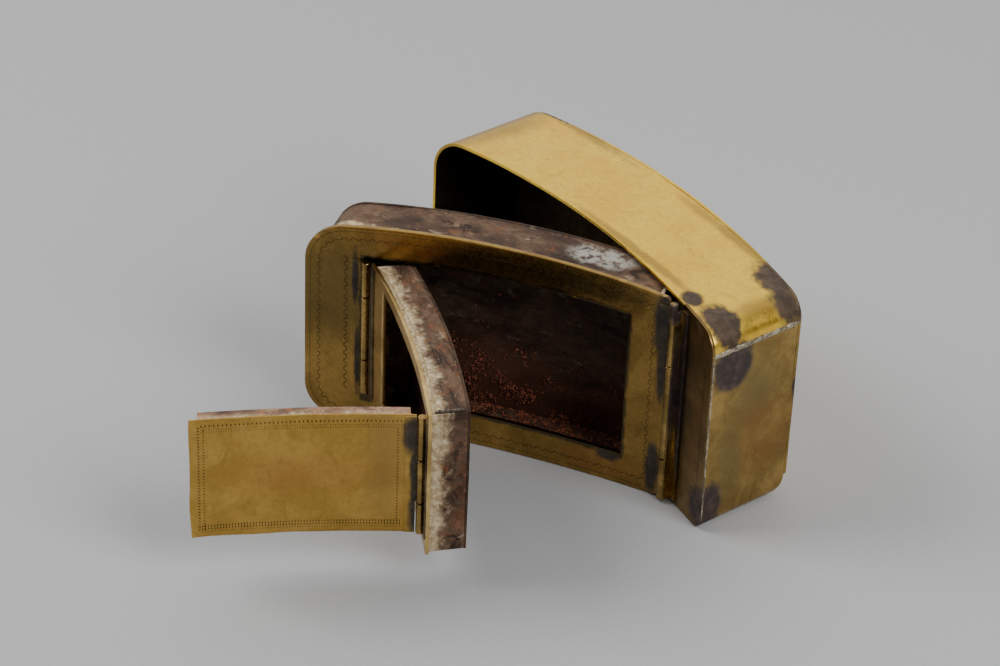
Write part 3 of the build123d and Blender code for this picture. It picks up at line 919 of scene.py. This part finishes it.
def build_case_seams():
    """Solder along the top of the end panel and down the front corner."""
    x = PANEL.right
    front = STRIP.front
    path = [(x - 0.06, front + 0.4 + (CASE_BACK.back - front - 0.8) * i / 60, SEAM_Z) for i in range(61)]
    top = bead("case_seam_top", "case", path, (0.62, 0.32), 4.0, 0.4)
    stand_for(top, SEAM_SOLDER, "case_top_seam")
    foot = CASE_RADII[3]
    path = [(x, front + 0.45, foot + (SEAM_Z - 0.5 - foot) * i / 70) for i in range(71)]
    corner = bead("case_seam_front", "case", path, (0.24, 0.24), 8.0, 0.4)
    stand_for(corner, SEAM_SOLDER, "case_front_seam")


# ---- Middle box ----
def build_middle_box():
    """Plate with its window, walls, back plate and the solder run behind the plate."""
    outer = outline(MIDDLE.left, MIDDLE.right, MIDDLE.low, MIDDLE.high, PLATE_RADII)
    window = outline(WINDOW_LEFT, WINDOW_RIGHT, WINDOW_LOW, WINDOW_HIGH)
    plate = frame_plate(
        "middle_plate", "middle_box", outer, window, MIDDLE.front, MIDDLE.back, *MIDDLE_DENTS, 0.16, 12
    )
    stand_for(plate, PLATE_BRASS, "middle_front_plate")
    wall_height = MIDDLE_BACK.high
    wall_radius = PLATE_RADII[0] - (MIDDLE_WALL.low - MIDDLE.low)
    wall = outline(
        MIDDLE_WALL.left, MIDDLE_END.right, MIDDLE_WALL.low, wall_height, (wall_radius, wall_radius, 0, 0)
    )
    sheet = MIDDLE_BACK.back - MIDDLE_BACK.front
    path = without_right_side(wall, MIDDLE_END.right, MIDDLE_WALL.low)
    walls = band(
        "middle_walls", "middle_box", path, MIDDLE_WALL.front, MIDDLE_BACK.front, sheet, 0.16, 31.0, 0.10
    )
    stand_for(walls, TINNED, "middle_wall_band")
    stand_for_cad("middle_end_wall", TINNED)
    back = solid_plate(
        "middle_back", "middle_box", wall, MIDDLE_BACK.front, MIDDLE_BACK.back, 0.16, 41.0, 0.12
    )
    stand_for(back, TINNED_INSIDE_SHADED, "middle_back_plate")
    solder_radii = (wall_radius, wall_radius, 0.5, 0.5)
    run = outline(MIDDLE_WALL.left, MIDDLE_END.right, MIDDLE_WALL.low, wall_height, solder_radii, spacing=0.6)
    run = from_top_right(shrunk(run, 0.02))
    path = [(x, MIDDLE_WALL.front + 0.35 + 0.25 * noise.noise(Vector((i * 0.3, 0, 3))), z)
            for i, (x, z) in enumerate(run)]
    solder_run = bead("middle_solder", "middle_box", path, (0.75, 0.26), 12.0, 0.8)
    stand_for(solder_run, CREAM_SOLDER, "middle_solder_fillet")


def build_hinge(piece_name, node, side, face, spans, material):
    """Leaf with rolled barrels, standing for a CAD leaf: bright barrels, tarnished flat."""
    body = BODY_OF[node]
    extent = Extent(node)
    axis_x, axis_y = hinge_axis(node)
    radius = BARREL_RADIUS
    around = 28
    vertices = []
    faces = []
    for low, high in spans:
        start = len(vertices)
        profile = [
            (0.55, low), (0.92, low), (1.0, low + 0.08), (1.0, high - 0.08), (0.92, high), (0.55, high),
        ]
        for share, z in profile:
            for k in range(around):
                angle = 2 * math.pi * k / around
                x = axis_x + radius * share * math.cos(angle)
                vertices.append((x, axis_y + radius * share * math.sin(angle) - bow(x), z))
        faces += quad_grid(len(profile), around, start=start, closed=True)
        top = start + (len(profile) - 1) * around
        for c in range(around):
            d = (c + 1) % around
            faces.append((top + c, top + d, start + d, start + c))
    barrels = mesh_object(piece_name + "_barrels", body, vertices, faces, 0.0, 40)
    stand_for(barrels, HINGE_BRASS)
    near = axis_x + side * LEAF_EDGE
    far = extent.left if side < 0 else extent.right
    vertices = []
    faces = []
    rows = 40
    blocks = [(min(near, far), max(near, far), extent.low, extent.high)]
    blocks += [(min(near, axis_x + side * 0.3), max(near, axis_x + side * 0.3), a, b) for a, b in spans]
    for left, right, low, high in blocks:
        start = len(vertices)
        for depth in (face - LEAF_SHEET, face):
            for i in range(5):
                for j in range(rows + 1):
                    x = left + (right - left) * i / 4
                    z = low + (high - low) * j / rows
                    ragged = 0.10 * noise.noise(Vector((z * 0.9, x, 3.3))) if x == far else 0.0
                    vertices.append((x + ragged, depth + waviness(x * 3, z, 0.05, 4.0), z))
        faces += slab_faces(5, rows + 1, start)
    flat = mesh_object(piece_name + "_flat", body, vertices, faces, 0.07)
    stand_for(flat, material, node)


def build_hinges():
    """All leaves and pins. Each middle barrel fills the gap between the outer pair, less a clearance."""
    for node, body_face, side, name, between, material in (
        ("middle_hinge_leaf", MIDDLE.front, -1, "middle_leaf", CASE_KNUCKLES, PLATE_BRASS),
        ("inner_hinge_leaf", INNER.front, 1, "inner_leaf", WINDOW_KNUCKLES, LEAF_DARK),
        ("lid_hinge_leaf", LID.front, -1, "lid_leaf", LID_KNUCKLES, LID_BRASS),
    ):
        span = (between[1] + KNUCKLE_GAP, between[2] - KNUCKLE_GAP)
        build_hinge(name, node, side, body_face, [span], material)
    for node, body_face, side, name, levels, material in (
        ("window_hinge_leaf", MIDDLE.front, -1, "window_leaf", WINDOW_KNUCKLES, PLATE_BRASS),
        ("lid_hinge_fixed_leaf", INNER.front, 1, "lid_fixed_leaf", LID_KNUCKLES, LEAF_DARK),
    ):
        build_hinge(name, node, side, body_face, [levels[:2], levels[2:]], material)
    stand_for_cad("case_hinge_leaf", WEB_BRASS)
    for pin in ("case_hinge_pin", "window_hinge_pin", "lid_hinge_pin"):
        stand_for_cad(pin, HINGE_BRASS)


def stand_for_cad(node, material):
    """Keep a CAD node and paint it."""
    data = frame["nodes"][node].data
    data.materials.clear()
    data.materials.append(material)


def build_rust():
    """Rust crumbs on the floor and back of the middle box, and pale flecks on its floor."""
    rng = random.Random(11)
    sheet = MIDDLE_BACK.back - MIDDLE_BACK.front
    spots = []
    floor_z = MIDDLE_WALL.low + sheet
    for _ in range(5200):
        x = rng.uniform(MIDDLE_WALL.left + 8, MIDDLE_END.right - 2)
        z = floor_z + abs(rng.gauss(0, 1)) * 7.5
        depth = MIDDLE_BACK.front - abs(rng.gauss(0, 0.2))
        weight = 0.22 + 0.9 * math.exp(-((x + 10) / 15) ** 2)
        clump = 0.35 + 1.5 * noise.noise(Vector((x * 0.2, z * 0.2, 2.0)))
        if rng.random() < weight * max(0.0, clump) and z < MIDDLE_BACK.high - 6:
            spots.append((x, depth, z, rng.uniform(0.10, 0.28) + 0.22 * max(0.0, clump - 0.6)))
    for _ in range(3200):
        x = rng.uniform(MIDDLE_WALL.left + 10, MIDDLE_END.right - 2)
        depth = MIDDLE_BACK.front - abs(rng.gauss(0, 1)) * 3.2
        if depth > MIDDLE_WALL.front + 0.5:
            clump = 0.5 + 0.9 * noise.noise(Vector((x * 0.3, depth * 0.3, 8.0)))
            if rng.random() < max(0.0, clump):
                spots.append((x, depth, floor_z + 0.05, rng.uniform(0.12, 0.42)))
    crumbs = granules("middle_rust", "middle_box", spots, 5)
    stand_for(crumbs, RUST)
    flecks = []
    for _ in range(26):
        x = rng.gauss(9.0, 5.0)
        depth = rng.uniform(MIDDLE_WALL.front + 1.0, MIDDLE_BACK.front - 3)
        flecks.append((x, depth, floor_z + 0.1, rng.uniform(0.07, 0.20)))
    pale = granules("middle_flecks", "middle_box", flecks, 6)
    stand_for(pale, FLECK)


# ---- Inner box ----
def build_inner_box():
    """Thin plate with the tray window, walls, end panel, back and solder."""
    outer = outline(INNER.left, INNER.right, INNER.low, INNER.high, spacing=1.0)
    tray = outline(TRAY_LEFT, TRAY_RIGHT, TRAY_LOW, TRAY_HIGH, crowned=False)
    plate = frame_plate("inner_plate", "inner_box", outer, tray, INNER.front, INNER.back, 0.10, 51.0, 0.12, 8)
    stand_for(plate, INNER_BRASS, "inner_front_plate")
    wall = outline(INNER_WALL.left, INNER_END.right, INNER_WALL.low, INNER_BACK.high)
    sheet = INNER_BACK.back - INNER_BACK.front
    path = without_right_side(wall, INNER_END.right, INNER_WALL.low)
    walls = band(
        "inner_walls", "inner_box", path, INNER_WALL.front, INNER_BACK.back - sheet, sheet, 0.14, 61.0, 0.10
    )
    stand_for(walls, INNER_TINNED, "inner_wall_band")
    rows = 34
    columns = 10
    vertices = []
    top = crown_at(INNER_END.right, INNER_BACK.high)
    for x in (INNER_END.right, INNER_END.right - sheet):
        for i in range(columns + 1):
            depth = INNER_WALL.front + (INNER_BACK.front - INNER_WALL.front) * i / columns
            for j in range(rows + 1):
                z = INNER_WALL.low + (top - INNER_WALL.low) * j / rows
                vertices.append((x + waviness(depth * 2, z, 0.12, 71.0), depth, z))
    faces = slab_faces(columns + 1, rows + 1)
    end = mesh_object("inner_end", "inner_box", vertices, faces, 0.12)
    stand_for(end, INNER_TINNED, "inner_end_panel")
    back = solid_plate("inner_back", "inner_box", wall, INNER_BACK.front, INNER_BACK.back, 0.12, 81.0, 0.12)
    stand_for(back, TINNED_INSIDE_SHADED, "inner_back_plate")
    path = []
    for i in range(26):
        depth = INNER_WALL.front + 0.5 + (INNER_BACK.front - INNER_WALL.front - 0.9) * i / 25
        path.append((INNER_END.right - 0.7 - 0.25 * noise.noise(Vector((i * 0.4, 1, 1))), depth, top + 0.10))
    seam = bead("inner_lap", "inner_box", path, (0.55, 0.20), 14.0, 0.6)
    stand_for(seam, DARK_SOLDER, "inner_seam")
    path = []
    for i in range(90):
        x = INNER_WALL.left + 1 + (INNER_END.right - INNER_WALL.left - 1.5) * i / 89
        depth = INNER_WALL.front + 0.35 + 0.35 * noise.noise(Vector((i * 0.25, 4, 1)))
        path.append((x, depth, crown_at(x, INNER_BACK.high) + 0.05))
    run = bead("inner_solder", "inner_box", path, (0.55, 0.10), 17.0, 0.5)
    stand_for(run, CREAM_SOLDER)


# ---- Lid ----
def build_lid():
    """Lid plate with slightly wavy edges, and the tinned rim behind it."""
    columns = 60
    rows = 40
    vertices = []
    for depth in (LID.front, LID.back):
        for i in range(columns + 1):
            for j in range(rows + 1):
                u, v = i / columns, j / rows
                x = LID.left + (LID.right - LID.left) * u
                z = LID.low + (LID.high - LID.low) * v
                edge = abs(2 * v - 1) ** 6
                side = abs(2 * u - 1) ** 6
                z -= (0.22 * (noise.noise(Vector((x * 0.12, v, 5))) + 0.5)) * edge * (2 * v - 1)
                x -= (0.30 * (noise.noise(Vector((z * 0.12, u, 9))) + 0.5)) * side * (2 * u - 1) * (u < 0.5)
                curl = 0.16 * edge * noise.noise(Vector((x * 0.1, v * 3, 2)))
                vertices.append((x, depth + waviness(x, z, *LID_DENTS) + curl, z))
    faces = slab_faces(columns + 1, rows + 1)
    plate = mesh_object("lid_plate", "lid", vertices, faces, 0.10)
    stand_for(plate, LID_BRASS, "lid_front_plate")
    tray = outline(LID_RIM.left, LID_RIM.right, LID_RIM.low, LID_RIM.high, crowned=False)
    rim = band(
        "lid_rim", "lid", tray, LID_RIM.front, LID_RIM.back, 0.4, 0.08, 95.0, 0.08, rows=6, closed=True
    )
    stand_for(rim, LID_TINNED, "lid_wall_rim")


# ---- Punched decoration ----
def open_side(points, left_of):
    """The part of a closed outline to the left of a line, as an open path from its top to its foot."""
    return [p for p in from_top_right(points) if p[0] < left_of]


def build_decoration():
    """Wriggled borders on the middle plate and the strip, and dashed borders on the lid."""
    outer = outline(MIDDLE.left, MIDDLE.right, MIDDLE.low, MIDDLE.high, PLATE_RADII, spacing=0.5)
    path = open_side(shrunk(outer, BORDER_INSET), MIDDLE_LEAF.left - 1.2)
    face = MIDDLE.front - MARK_LIFT
    marks = zigzag(path, 1.0, 0.42, 0.17)
    x = WINDOW_LEAF.left - 1.3
    window_side = [(x, WINDOW_LEAF.low - 0.5), (x, WINDOW_LEAF.high + 0.5)]
    marks += zigzag(window_side, 1.05, 0.5, 0.22)
    hinge_side = [(MIDDLE_LEAF.left - 1.2, MIDDLE.low + BORDER_INSET), (MIDDLE_LEAF.left - 1.2, 46.5)]
    marks += zigzag(hinge_side, 1.0, 0.42, 0.17)
    rim_line = open_side(shrunk(outer, 1.1), MIDDLE_LEAF.left - 0.4)
    rim_line = rim_line[::2]
    marks += [(a[0], a[1], b[0], b[1], 0.12) for a, b in zip(rim_line, rim_line[1:])]
    border = punched_marks("middle_border", "middle_box", face, marks, *MIDDLE_DENTS)
    stand_for(border, MARK)
    strip_path = [(PANEL.right - 2.4, CASE_RADII[3] + 2), (PANEL.right - 2.4, SEAM_Z - 2)]
    marks = zigzag(strip_path, 0.9, 0.35, 0.16)
    border = punched_marks("strip_border", "case", STRIP.front - MARK_LIFT, marks, *STRIP_DENTS)
    stand_for(border, MARK)
    marks = []
    right = LID_LEAF.left - 0.8
    for z, pitch, length, width in (
        (LID.high - 1.6, 0.85, 0.55, 0.24),
        (LID.high - 2.5, 0.5, 0.28, 0.12),
        (LID.high - 3.1, 0.5, 0.28, 0.12),
        (LID.low + 1.5, 0.5, 0.28, 0.12),
        (LID.low + 2.2, 0.6, 0.5, 0.2),
        (LID.low + 2.9, 0.6, 0.5, 0.2),
    ):
        marks += dashes((LID.left + 2.6, z), (right, z), pitch, length, width)
    for x, length, width in ((LID.left + 2.0, 0.5, 0.18), (LID.left + 3.0, 0.4, 0.15)):
        marks += dashes((x, LID.low + 2), (x, LID.high - 2), 0.75, length, width, 0.2)
    marks += dashes((right - 0.6, LID.low + 3.4), (right - 0.6, LID.high - 3.6), 0.75, 0.45, 0.16, 0.2)
    border = punched_marks("lid_border", "lid", LID.front - 0.02, marks, *LID_DENTS)
    stand_for(border, MARK)


# ---- Materials of this object ----
BRIGHT = (1.0, 0.66, 0.085)
DULL = (0.96, 0.57, 0.062)
TARNISH = [
    ((X_END - 3.6, -11.2, CASE_TOP - 2.5), (5.6, 4.0, 6.5), 0.45, 0.45, 0.2),
    ((X_END - 12.6, -11.8, CASE_TOP - 1), (2.6, 2.2, 3.0), 0.4, 0.45, 0.25),
    ((X_END - 7.6, 7.6, CASE_TOP - 1), (7.0, 4.4, 5.0), 0.45, 0.4, 0.25),
    ((X_END - 2.6, 5.6, CASE_TOP - 4), (4.0, 4.4, 5.0), 0.45, 0.4, 0.25),
    ((X_END, -10.6, 39.8), (2.5, 5.2, 6.4), 0.4, 0.4, 0.2),
    ((X_END, -14.4, 5.2), (5.2, 3.8, 6.2), 0.4, 0.4, 0.2),
    ((X_END, 7.6, 27.0), (1.2, 0.9, 3.0), 0.5),
    ((CASE.left + 6.0, 9.5, CASE_TOP - 1), (9.0, 1.2, 2.5), 0.8),
]
CASE_BRASS = brass(
    "worn_case_brass_and_painted_shade",
    BRIGHT,
    DULL,
    TARNISH,
    0.26,
    speck=0.75,
    film_and_shade=[
        # First patch: painted shade on the rounded left end of the top; the bands along the top edges are
        # brown tarnish.
        ((CASE.left, -3.0, CASE_TOP - 4), (11.0, 24.0, 11.0), 0.35, 0.12, 0.35),
        ((CASE.left + 14.0, 9.6, CASE_TOP), (20.0, 1.5, 4.0), 0.6, 0.25, 0.5),
        ((X_END - 18.0, 9.4, CASE_TOP), (20.0, 1.5, 4.0), 0.6, 0.25, 0.5),
        ((X_END - 30.0, -11.0, CASE_TOP), (20.0, 1.1, 4.0), 0.6, 0.25, 0.5),
        ((X_END - 3.0, -2.0, CASE_TOP - 1), (3.0, 6.0, 3.0), 0.5, 0.25, 0.5),
    ],
    film_and_shade_colour=(0.42, 0.25, 0.055),
)
PANEL_BRASS = brass(
    "worn_panel_brass_and_painted_highlight",
    (0.50, 0.33, 0.10),
    (0.30, 0.19, 0.055),
    TARNISH,
    0.24,
    speck=0.3,
    # Painted highlight: a lighter orange patch of reflected light on the middle of the end panel.
    painted_highlights=[((X_END, 0.0, 19.0), (3.0, 7.5, 9.0), 0.7, 0.10, 0.5)],
    film_and_shade=[
        ((X_END, -3.5, 31.0), (3.0, 5.0, 8.0), 0.7, 0.10, 0.7),
        ((X_END, -9.0, 15.0), (3.0, 3.0, 9.0), 0.7, 0.12, 0.7),
    ],
    film_and_shade_colour=(0.24, 0.175, 0.066),
)
STRIP_BRASS = brass(
    "worn_strip_brass_and_painted_reflection",
    # Dark tones and a near-black patch: painted reflection of the dark middle plate and its shade, over worn
    # brass; the lighter patch is a painted highlight.
    (0.34, 0.21, 0.07),
    (0.20, 0.12, 0.04),
    TARNISH,
    0.28,
    speck=0.2,
    painted_highlights=[((X_END - 4.0, STRIP.front, 22.0), (2.0, 4.0, 14.0), 0.5, 0.2, 0.6)],
    film_and_shade=[((X_END - 10.5, STRIP.front, 25.0), (3.5, 4.0, 30.0), 0.6, 0.15, 0.5)],
    film_and_shade_colour=(0.06, 0.045, 0.025),
)
CASE_INSIDE = brass("dark_inside", (0.10, 0.065, 0.035), (0.05, 0.033, 0.02), [], 0.6)
DARK_TONES = ((0.016, 0.012, 0.009), (0.050, 0.036, 0.024))
PLATE_BRASS = brass(
    "plate_brass_worn_and_painted_reflection",
    # Dull olive tones kept dark: partly tarnish, partly painted reflection of the dark surroundings in the
    # upright plate.
    (0.44, 0.27, 0.075),
    (0.29, 0.175, 0.048),
    [
        ((MIDDLE_LEAF.left + 0.9, MIDDLE.front - 2.5, 44.0), (1.9, 3.5, 9.0), 0.5, 0.35, 0.3),
        ((MIDDLE_LEAF.left + 1.4, MIDDLE.front - 2.5, 34.0), (1.1, 3.5, 10.0), 0.5, 0.35, 0.3),
        ((MIDDLE_LEAF.left + 0.6, MIDDLE.front - 2.5, 7.0), (1.6, 3.5, 6.5), 0.5, 0.35, 0.3),
        ((WINDOW_LEAF.left + 0.8, MIDDLE.front - 2, 38.0), (0.7, 4.0, 6.5), 0.6, 0.35, 0.35),
        ((WINDOW_LEAF.left + 1.4, MIDDLE.front - 2, 17.0), (0.6, 4.0, 9.0), 0.6, 0.35, 0.35),
        ((WINDOW_RIGHT - 3.0, MIDDLE.front - 2, WINDOW_LOW - 1.6), (2.6, 3.0, 1.2), 0.6, 0.35, 0.4),
    ],
    0.24,
    speck=0.2,
    # Painted highlights: reflected floor light along the low edge, and a band along the top.
    painted_highlights=[
        ((20.0, MIDDLE.front, 4.0), (9.0, 3.0, 3.0), 0.6),
        ((-24.0, MIDDLE.front, 47.5), (9.0, 4.0, 2.0), 0.6),
    ],
    # The upper-left patch is painted dark reflection of the lid's dark back; the second darkens a band along
    # the top edge.
    film_and_shade=[
        ((MIDDLE.left + 7.0, MIDDLE.front - 3, 34.0), (9.5, 5.0, 12.5), 0.3, 0.08, 0.5),
        ((-2.0, MIDDLE.front, 47.5), (34.0, 3.0, 2.4), 0.5, 0.12, 0.6),
    ],
    film_and_shade_colour=(0.14, 0.098, 0.034),
    window=(*WINDOW_BOX, 1.0),
    stain_tones=DARK_TONES,
)
LID_BRASS = brass(
    "lid_brass_worn_and_painted_highlight",
    (0.58, 0.35, 0.085),
    (0.46, 0.27, 0.06),
    [
        ((LID_LEAF.left + 1.6, LID.front - 2, LID.high - 5.0), (2.3, 3.0, 5.4), 0.5, 0.35, 0.35),
        ((LID.right - 0.2, LID.front - 2, (LID.low + LID.high) / 2), (1.0, 3.0, 13.0), 0.6, 0.35, 0.35),
        ((LID_LEAF.left + 2.4, LID.front - 2, LID.low + 5.0), (1.7, 3.0, 5.4), 0.5, 0.35, 0.35),
    ],
    0.24,
    speck=0.4,
    # Painted highlight: a lighter orange band of reflected light across the middle of the lid.
    painted_highlights=[(((LID.left + LID.right) / 2, LID.front, 27.0), (15.0, 3.0, 4.0), 0.8, 0.2, 0.7)],
    film_and_shade=[((LID.right - 6.0, LID.front, 30.0), (3.5, 3.0, 12.0), 0.6, 0.15, 0.8)],
    film_and_shade_colour=(0.34, 0.21, 0.06),
    stain_tones=DARK_TONES,
)
INNER_BRASS = brass("inner_plate_brass", (0.74, 0.52, 0.21), (0.46, 0.30, 0.10), [], 0.3, speck=0.4)
MARK = brass("punch_marks", (0.12, 0.075, 0.025), (0.06, 0.038, 0.014), [], 0.5, worn=0.0)
HINGE_BRASS = brass("hinge_brass_bright", (0.50, 0.33, 0.11), (0.24, 0.155, 0.05), [], 0.24, worn=0.0)
LEAF_DARK = brass("leaf_tarnished", (0.20, 0.15, 0.085), (0.055, 0.042, 0.03), [], 0.42, worn=0.3)
WEB_X, WEB_Y = hinge_axis("case_hinge_leaf")
WEB_BRASS = brass(
    "case_leaf_brass",
    (0.50, 0.33, 0.11),
    (0.24, 0.155, 0.05),
    [
        ((WEB_X + 3.4, WEB_Y, 30.0), (2.5, 4.0, 24.0), 0.1, 0.35, 0.1),
        ((WEB_X + 0.6, WEB_Y, 49.0), (1.2, 2.0, 4.0), 0.6, 0.5, 0.3),
    ],
    0.24,
    worn=0.0,
)
TINNED = tinned(
    "tinned_walls",
    (MIDDLE_WALL.front, 0.5, 0.5),
    0.45,
    pale_spots=[((15.5, -5.2, 49.0), (6.5, 3.4, 5.0), 0.6, 0.35, 0.3)],
    cream_spots=[
        ((MIDDLE_WALL.left + 7.5, MIDDLE_WALL.front - 1.6, 48.0), (6.5, 2.8, 8.0), 1.0, 0.4, 0.3),
        ((0.0, MIDDLE_WALL.front + 0.2, 49.0), (24.0, 1.2, 8.0), 1.2, 0.3, 0.3),
    ],
)
# Darker copy of the tinned iron for the box insides: the 0.55 scale is painted shade; the red spots are rust.
TINNED_INSIDE_SHADED = tinned(
    "tinned_inside_painted_shade",
    rust=0.7,
    shade=0.55,
    rust_spots=[
        ((-10.0, MIDDLE_BACK.front, 6.0), (19.0, 12.0, 13.0), 0.7, 0.2, 0.6),
        ((16.0, MIDDLE_BACK.front, 6.0), (12.0, 12.0, 8.0), 0.7, 0.2, 0.6),
    ],
)
INNER_TINNED = tinned("tinned_inner_walls", (INNER_WALL.front, 2.4, 1.3), 0.8)
LID_TINNED = tinned("tinned_lid_rim", (LID_RIM.front, 1.2, 1.2), 0.6, shade=2.6)
SEAM_SOLDER = solder("seam_solder", (0.56, 0.48, 0.34), (0.12, 0.095, 0.06), 0.25)
CREAM_SOLDER = solder("cream_solder", (0.72, 0.58, 0.34), (0.30, 0.20, 0.09), rust=0.5)
DARK_SOLDER = solder("dark_solder", (0.16, 0.12, 0.10), (0.04, 0.03, 0.026), rust=0.5)
RUST = rust_crust("rust_crumbs")
FLECK = solder("pale_flecks", (0.75, 0.72, 0.65), (0.55, 0.52, 0.45), rust=0.0)

build_case()
build_case_seams()
build_middle_box()
build_rust()
build_inner_box()
build_lid()
build_decoration()
build_hinges()

# ---- Stage, lights and camera ----
CAMERA_TARGET = Vector((-0.03378, -0.00666, 0.0))
CAMERA_DISTANCE = 0.7807
CAMERA_AZIMUTH = math.radians(51.43)
CAMERA_ELEVATION = math.radians(34.706)
CAMERA_ROLL = math.radians(2.367)
CAMERA_LENS = 124.7


def add_floor():
    """Pale grey sweep that the case stands on."""
    size = 3.0
    mesh = bpy.data.meshes.new("floor")
    mesh.from_pydata(
        [(-size, -size, 0), (size, -size, 0), (size, size, 0), (-size, size, 0)], [], [(0, 1, 2, 3)]
    )
    floor = bpy.data.objects.new("floor", mesh)
    bpy.context.scene.collection.objects.link(floor)
    material = bpy.data.materials.new("paper")
    material.use_nodes = True
    tree = material.node_tree
    shader = tree.nodes["Principled BSDF"]
    place = tree.nodes.new("ShaderNodeTexCoord")
    grain = tree.nodes.new("ShaderNodeTexNoise")
    grain.inputs["Scale"].default_value = 900.0
    ramp = tree.nodes.new("ShaderNodeMix")
    ramp.data_type = "RGBA"
    ramp.inputs[6].default_value = (0.46, 0.465, 0.47, 1)
    ramp.inputs[7].default_value = (0.52, 0.525, 0.53, 1)
    tree.links.new(place.outputs["Object"], grain.inputs["Vector"])
    tree.links.new(grain.outputs["Fac"], ramp.inputs["Factor"])
    tree.links.new(ramp.outputs[2], shader.inputs["Base Color"])
    shader.inputs["Roughness"].default_value = 0.85
    mesh.materials.append(material)


def add_area(name, place, target, size, power):
    """Soft box light aimed at a point."""
    light = bpy.data.lights.new(name, "AREA")
    light.shape = "RECTANGLE"
    light.size, light.size_y = size
    light.energy = power
    lamp = bpy.data.objects.new(name, light)
    lamp.location = place
    lamp.rotation_euler = (Vector(target) - Vector(place)).to_track_quat("-Z", "Y").to_euler()
    bpy.context.scene.collection.objects.link(lamp)


def add_camera():
    """Camera at the photograph's viewing angle."""
    data = bpy.data.cameras.new("camera")
    data.lens = CAMERA_LENS
    data.sensor_width = 36.0
    data.clip_start = 0.01
    camera = bpy.data.objects.new("camera", data)
    turn = Matrix.Rotation(CAMERA_AZIMUTH, 4, "Z")
    tilt = Matrix.Rotation(math.pi / 2 - CAMERA_ELEVATION, 4, "X")
    roll = Matrix.Rotation(CAMERA_ROLL, 4, "Z")
    away = Matrix.Translation((0, 0, CAMERA_DISTANCE))
    camera.matrix_world = Matrix.Translation(CAMERA_TARGET) @ turn @ tilt @ away @ roll
    bpy.context.scene.collection.objects.link(camera)
    bpy.context.scene.camera = camera


def add_world():
    """Dim studio with a bright sweep behind and above the case, which the tops reflect."""
    world = bpy.data.worlds.new("studio")
    world.use_nodes = True
    tree = world.node_tree
    place = tree.nodes.new("ShaderNodeTexCoord")
    facing = tree.nodes.new("ShaderNodeVectorMath")
    facing.operation = "DOT_PRODUCT"
    facing.inputs[1].default_value = Vector((-0.62, 0.50, 0.60)).normalized()
    height = tree.nodes.new("ShaderNodeMapRange")
    height.interpolation_type = "SMOOTHSTEP"
    height.inputs["From Min"].default_value = 0.25
    height.inputs["From Max"].default_value = 0.98
    height.inputs["To Min"].default_value = 0.10
    height.inputs["To Max"].default_value = 1.05
    tree.links.new(place.outputs["Generated"], facing.inputs[0])
    tree.links.new(facing.outputs["Value"], height.inputs["Value"])
    tree.links.new(height.outputs["Result"], tree.nodes["Background"].inputs["Strength"])
    tree.nodes["Background"].inputs["Color"].default_value = (1.0, 1.0, 1.0, 1)
    bpy.context.scene.world = world


add_floor()
add_world()
add_area("left_box", (-0.75, -0.75, 0.95), (0, -0.04, 0.0), (0.7, 0.7), 12.0)
add_area("right_box", (1.05, 0.10, 0.90), (0, -0.04, 0.0), (0.7, 0.7), 12.0)
add_camera()
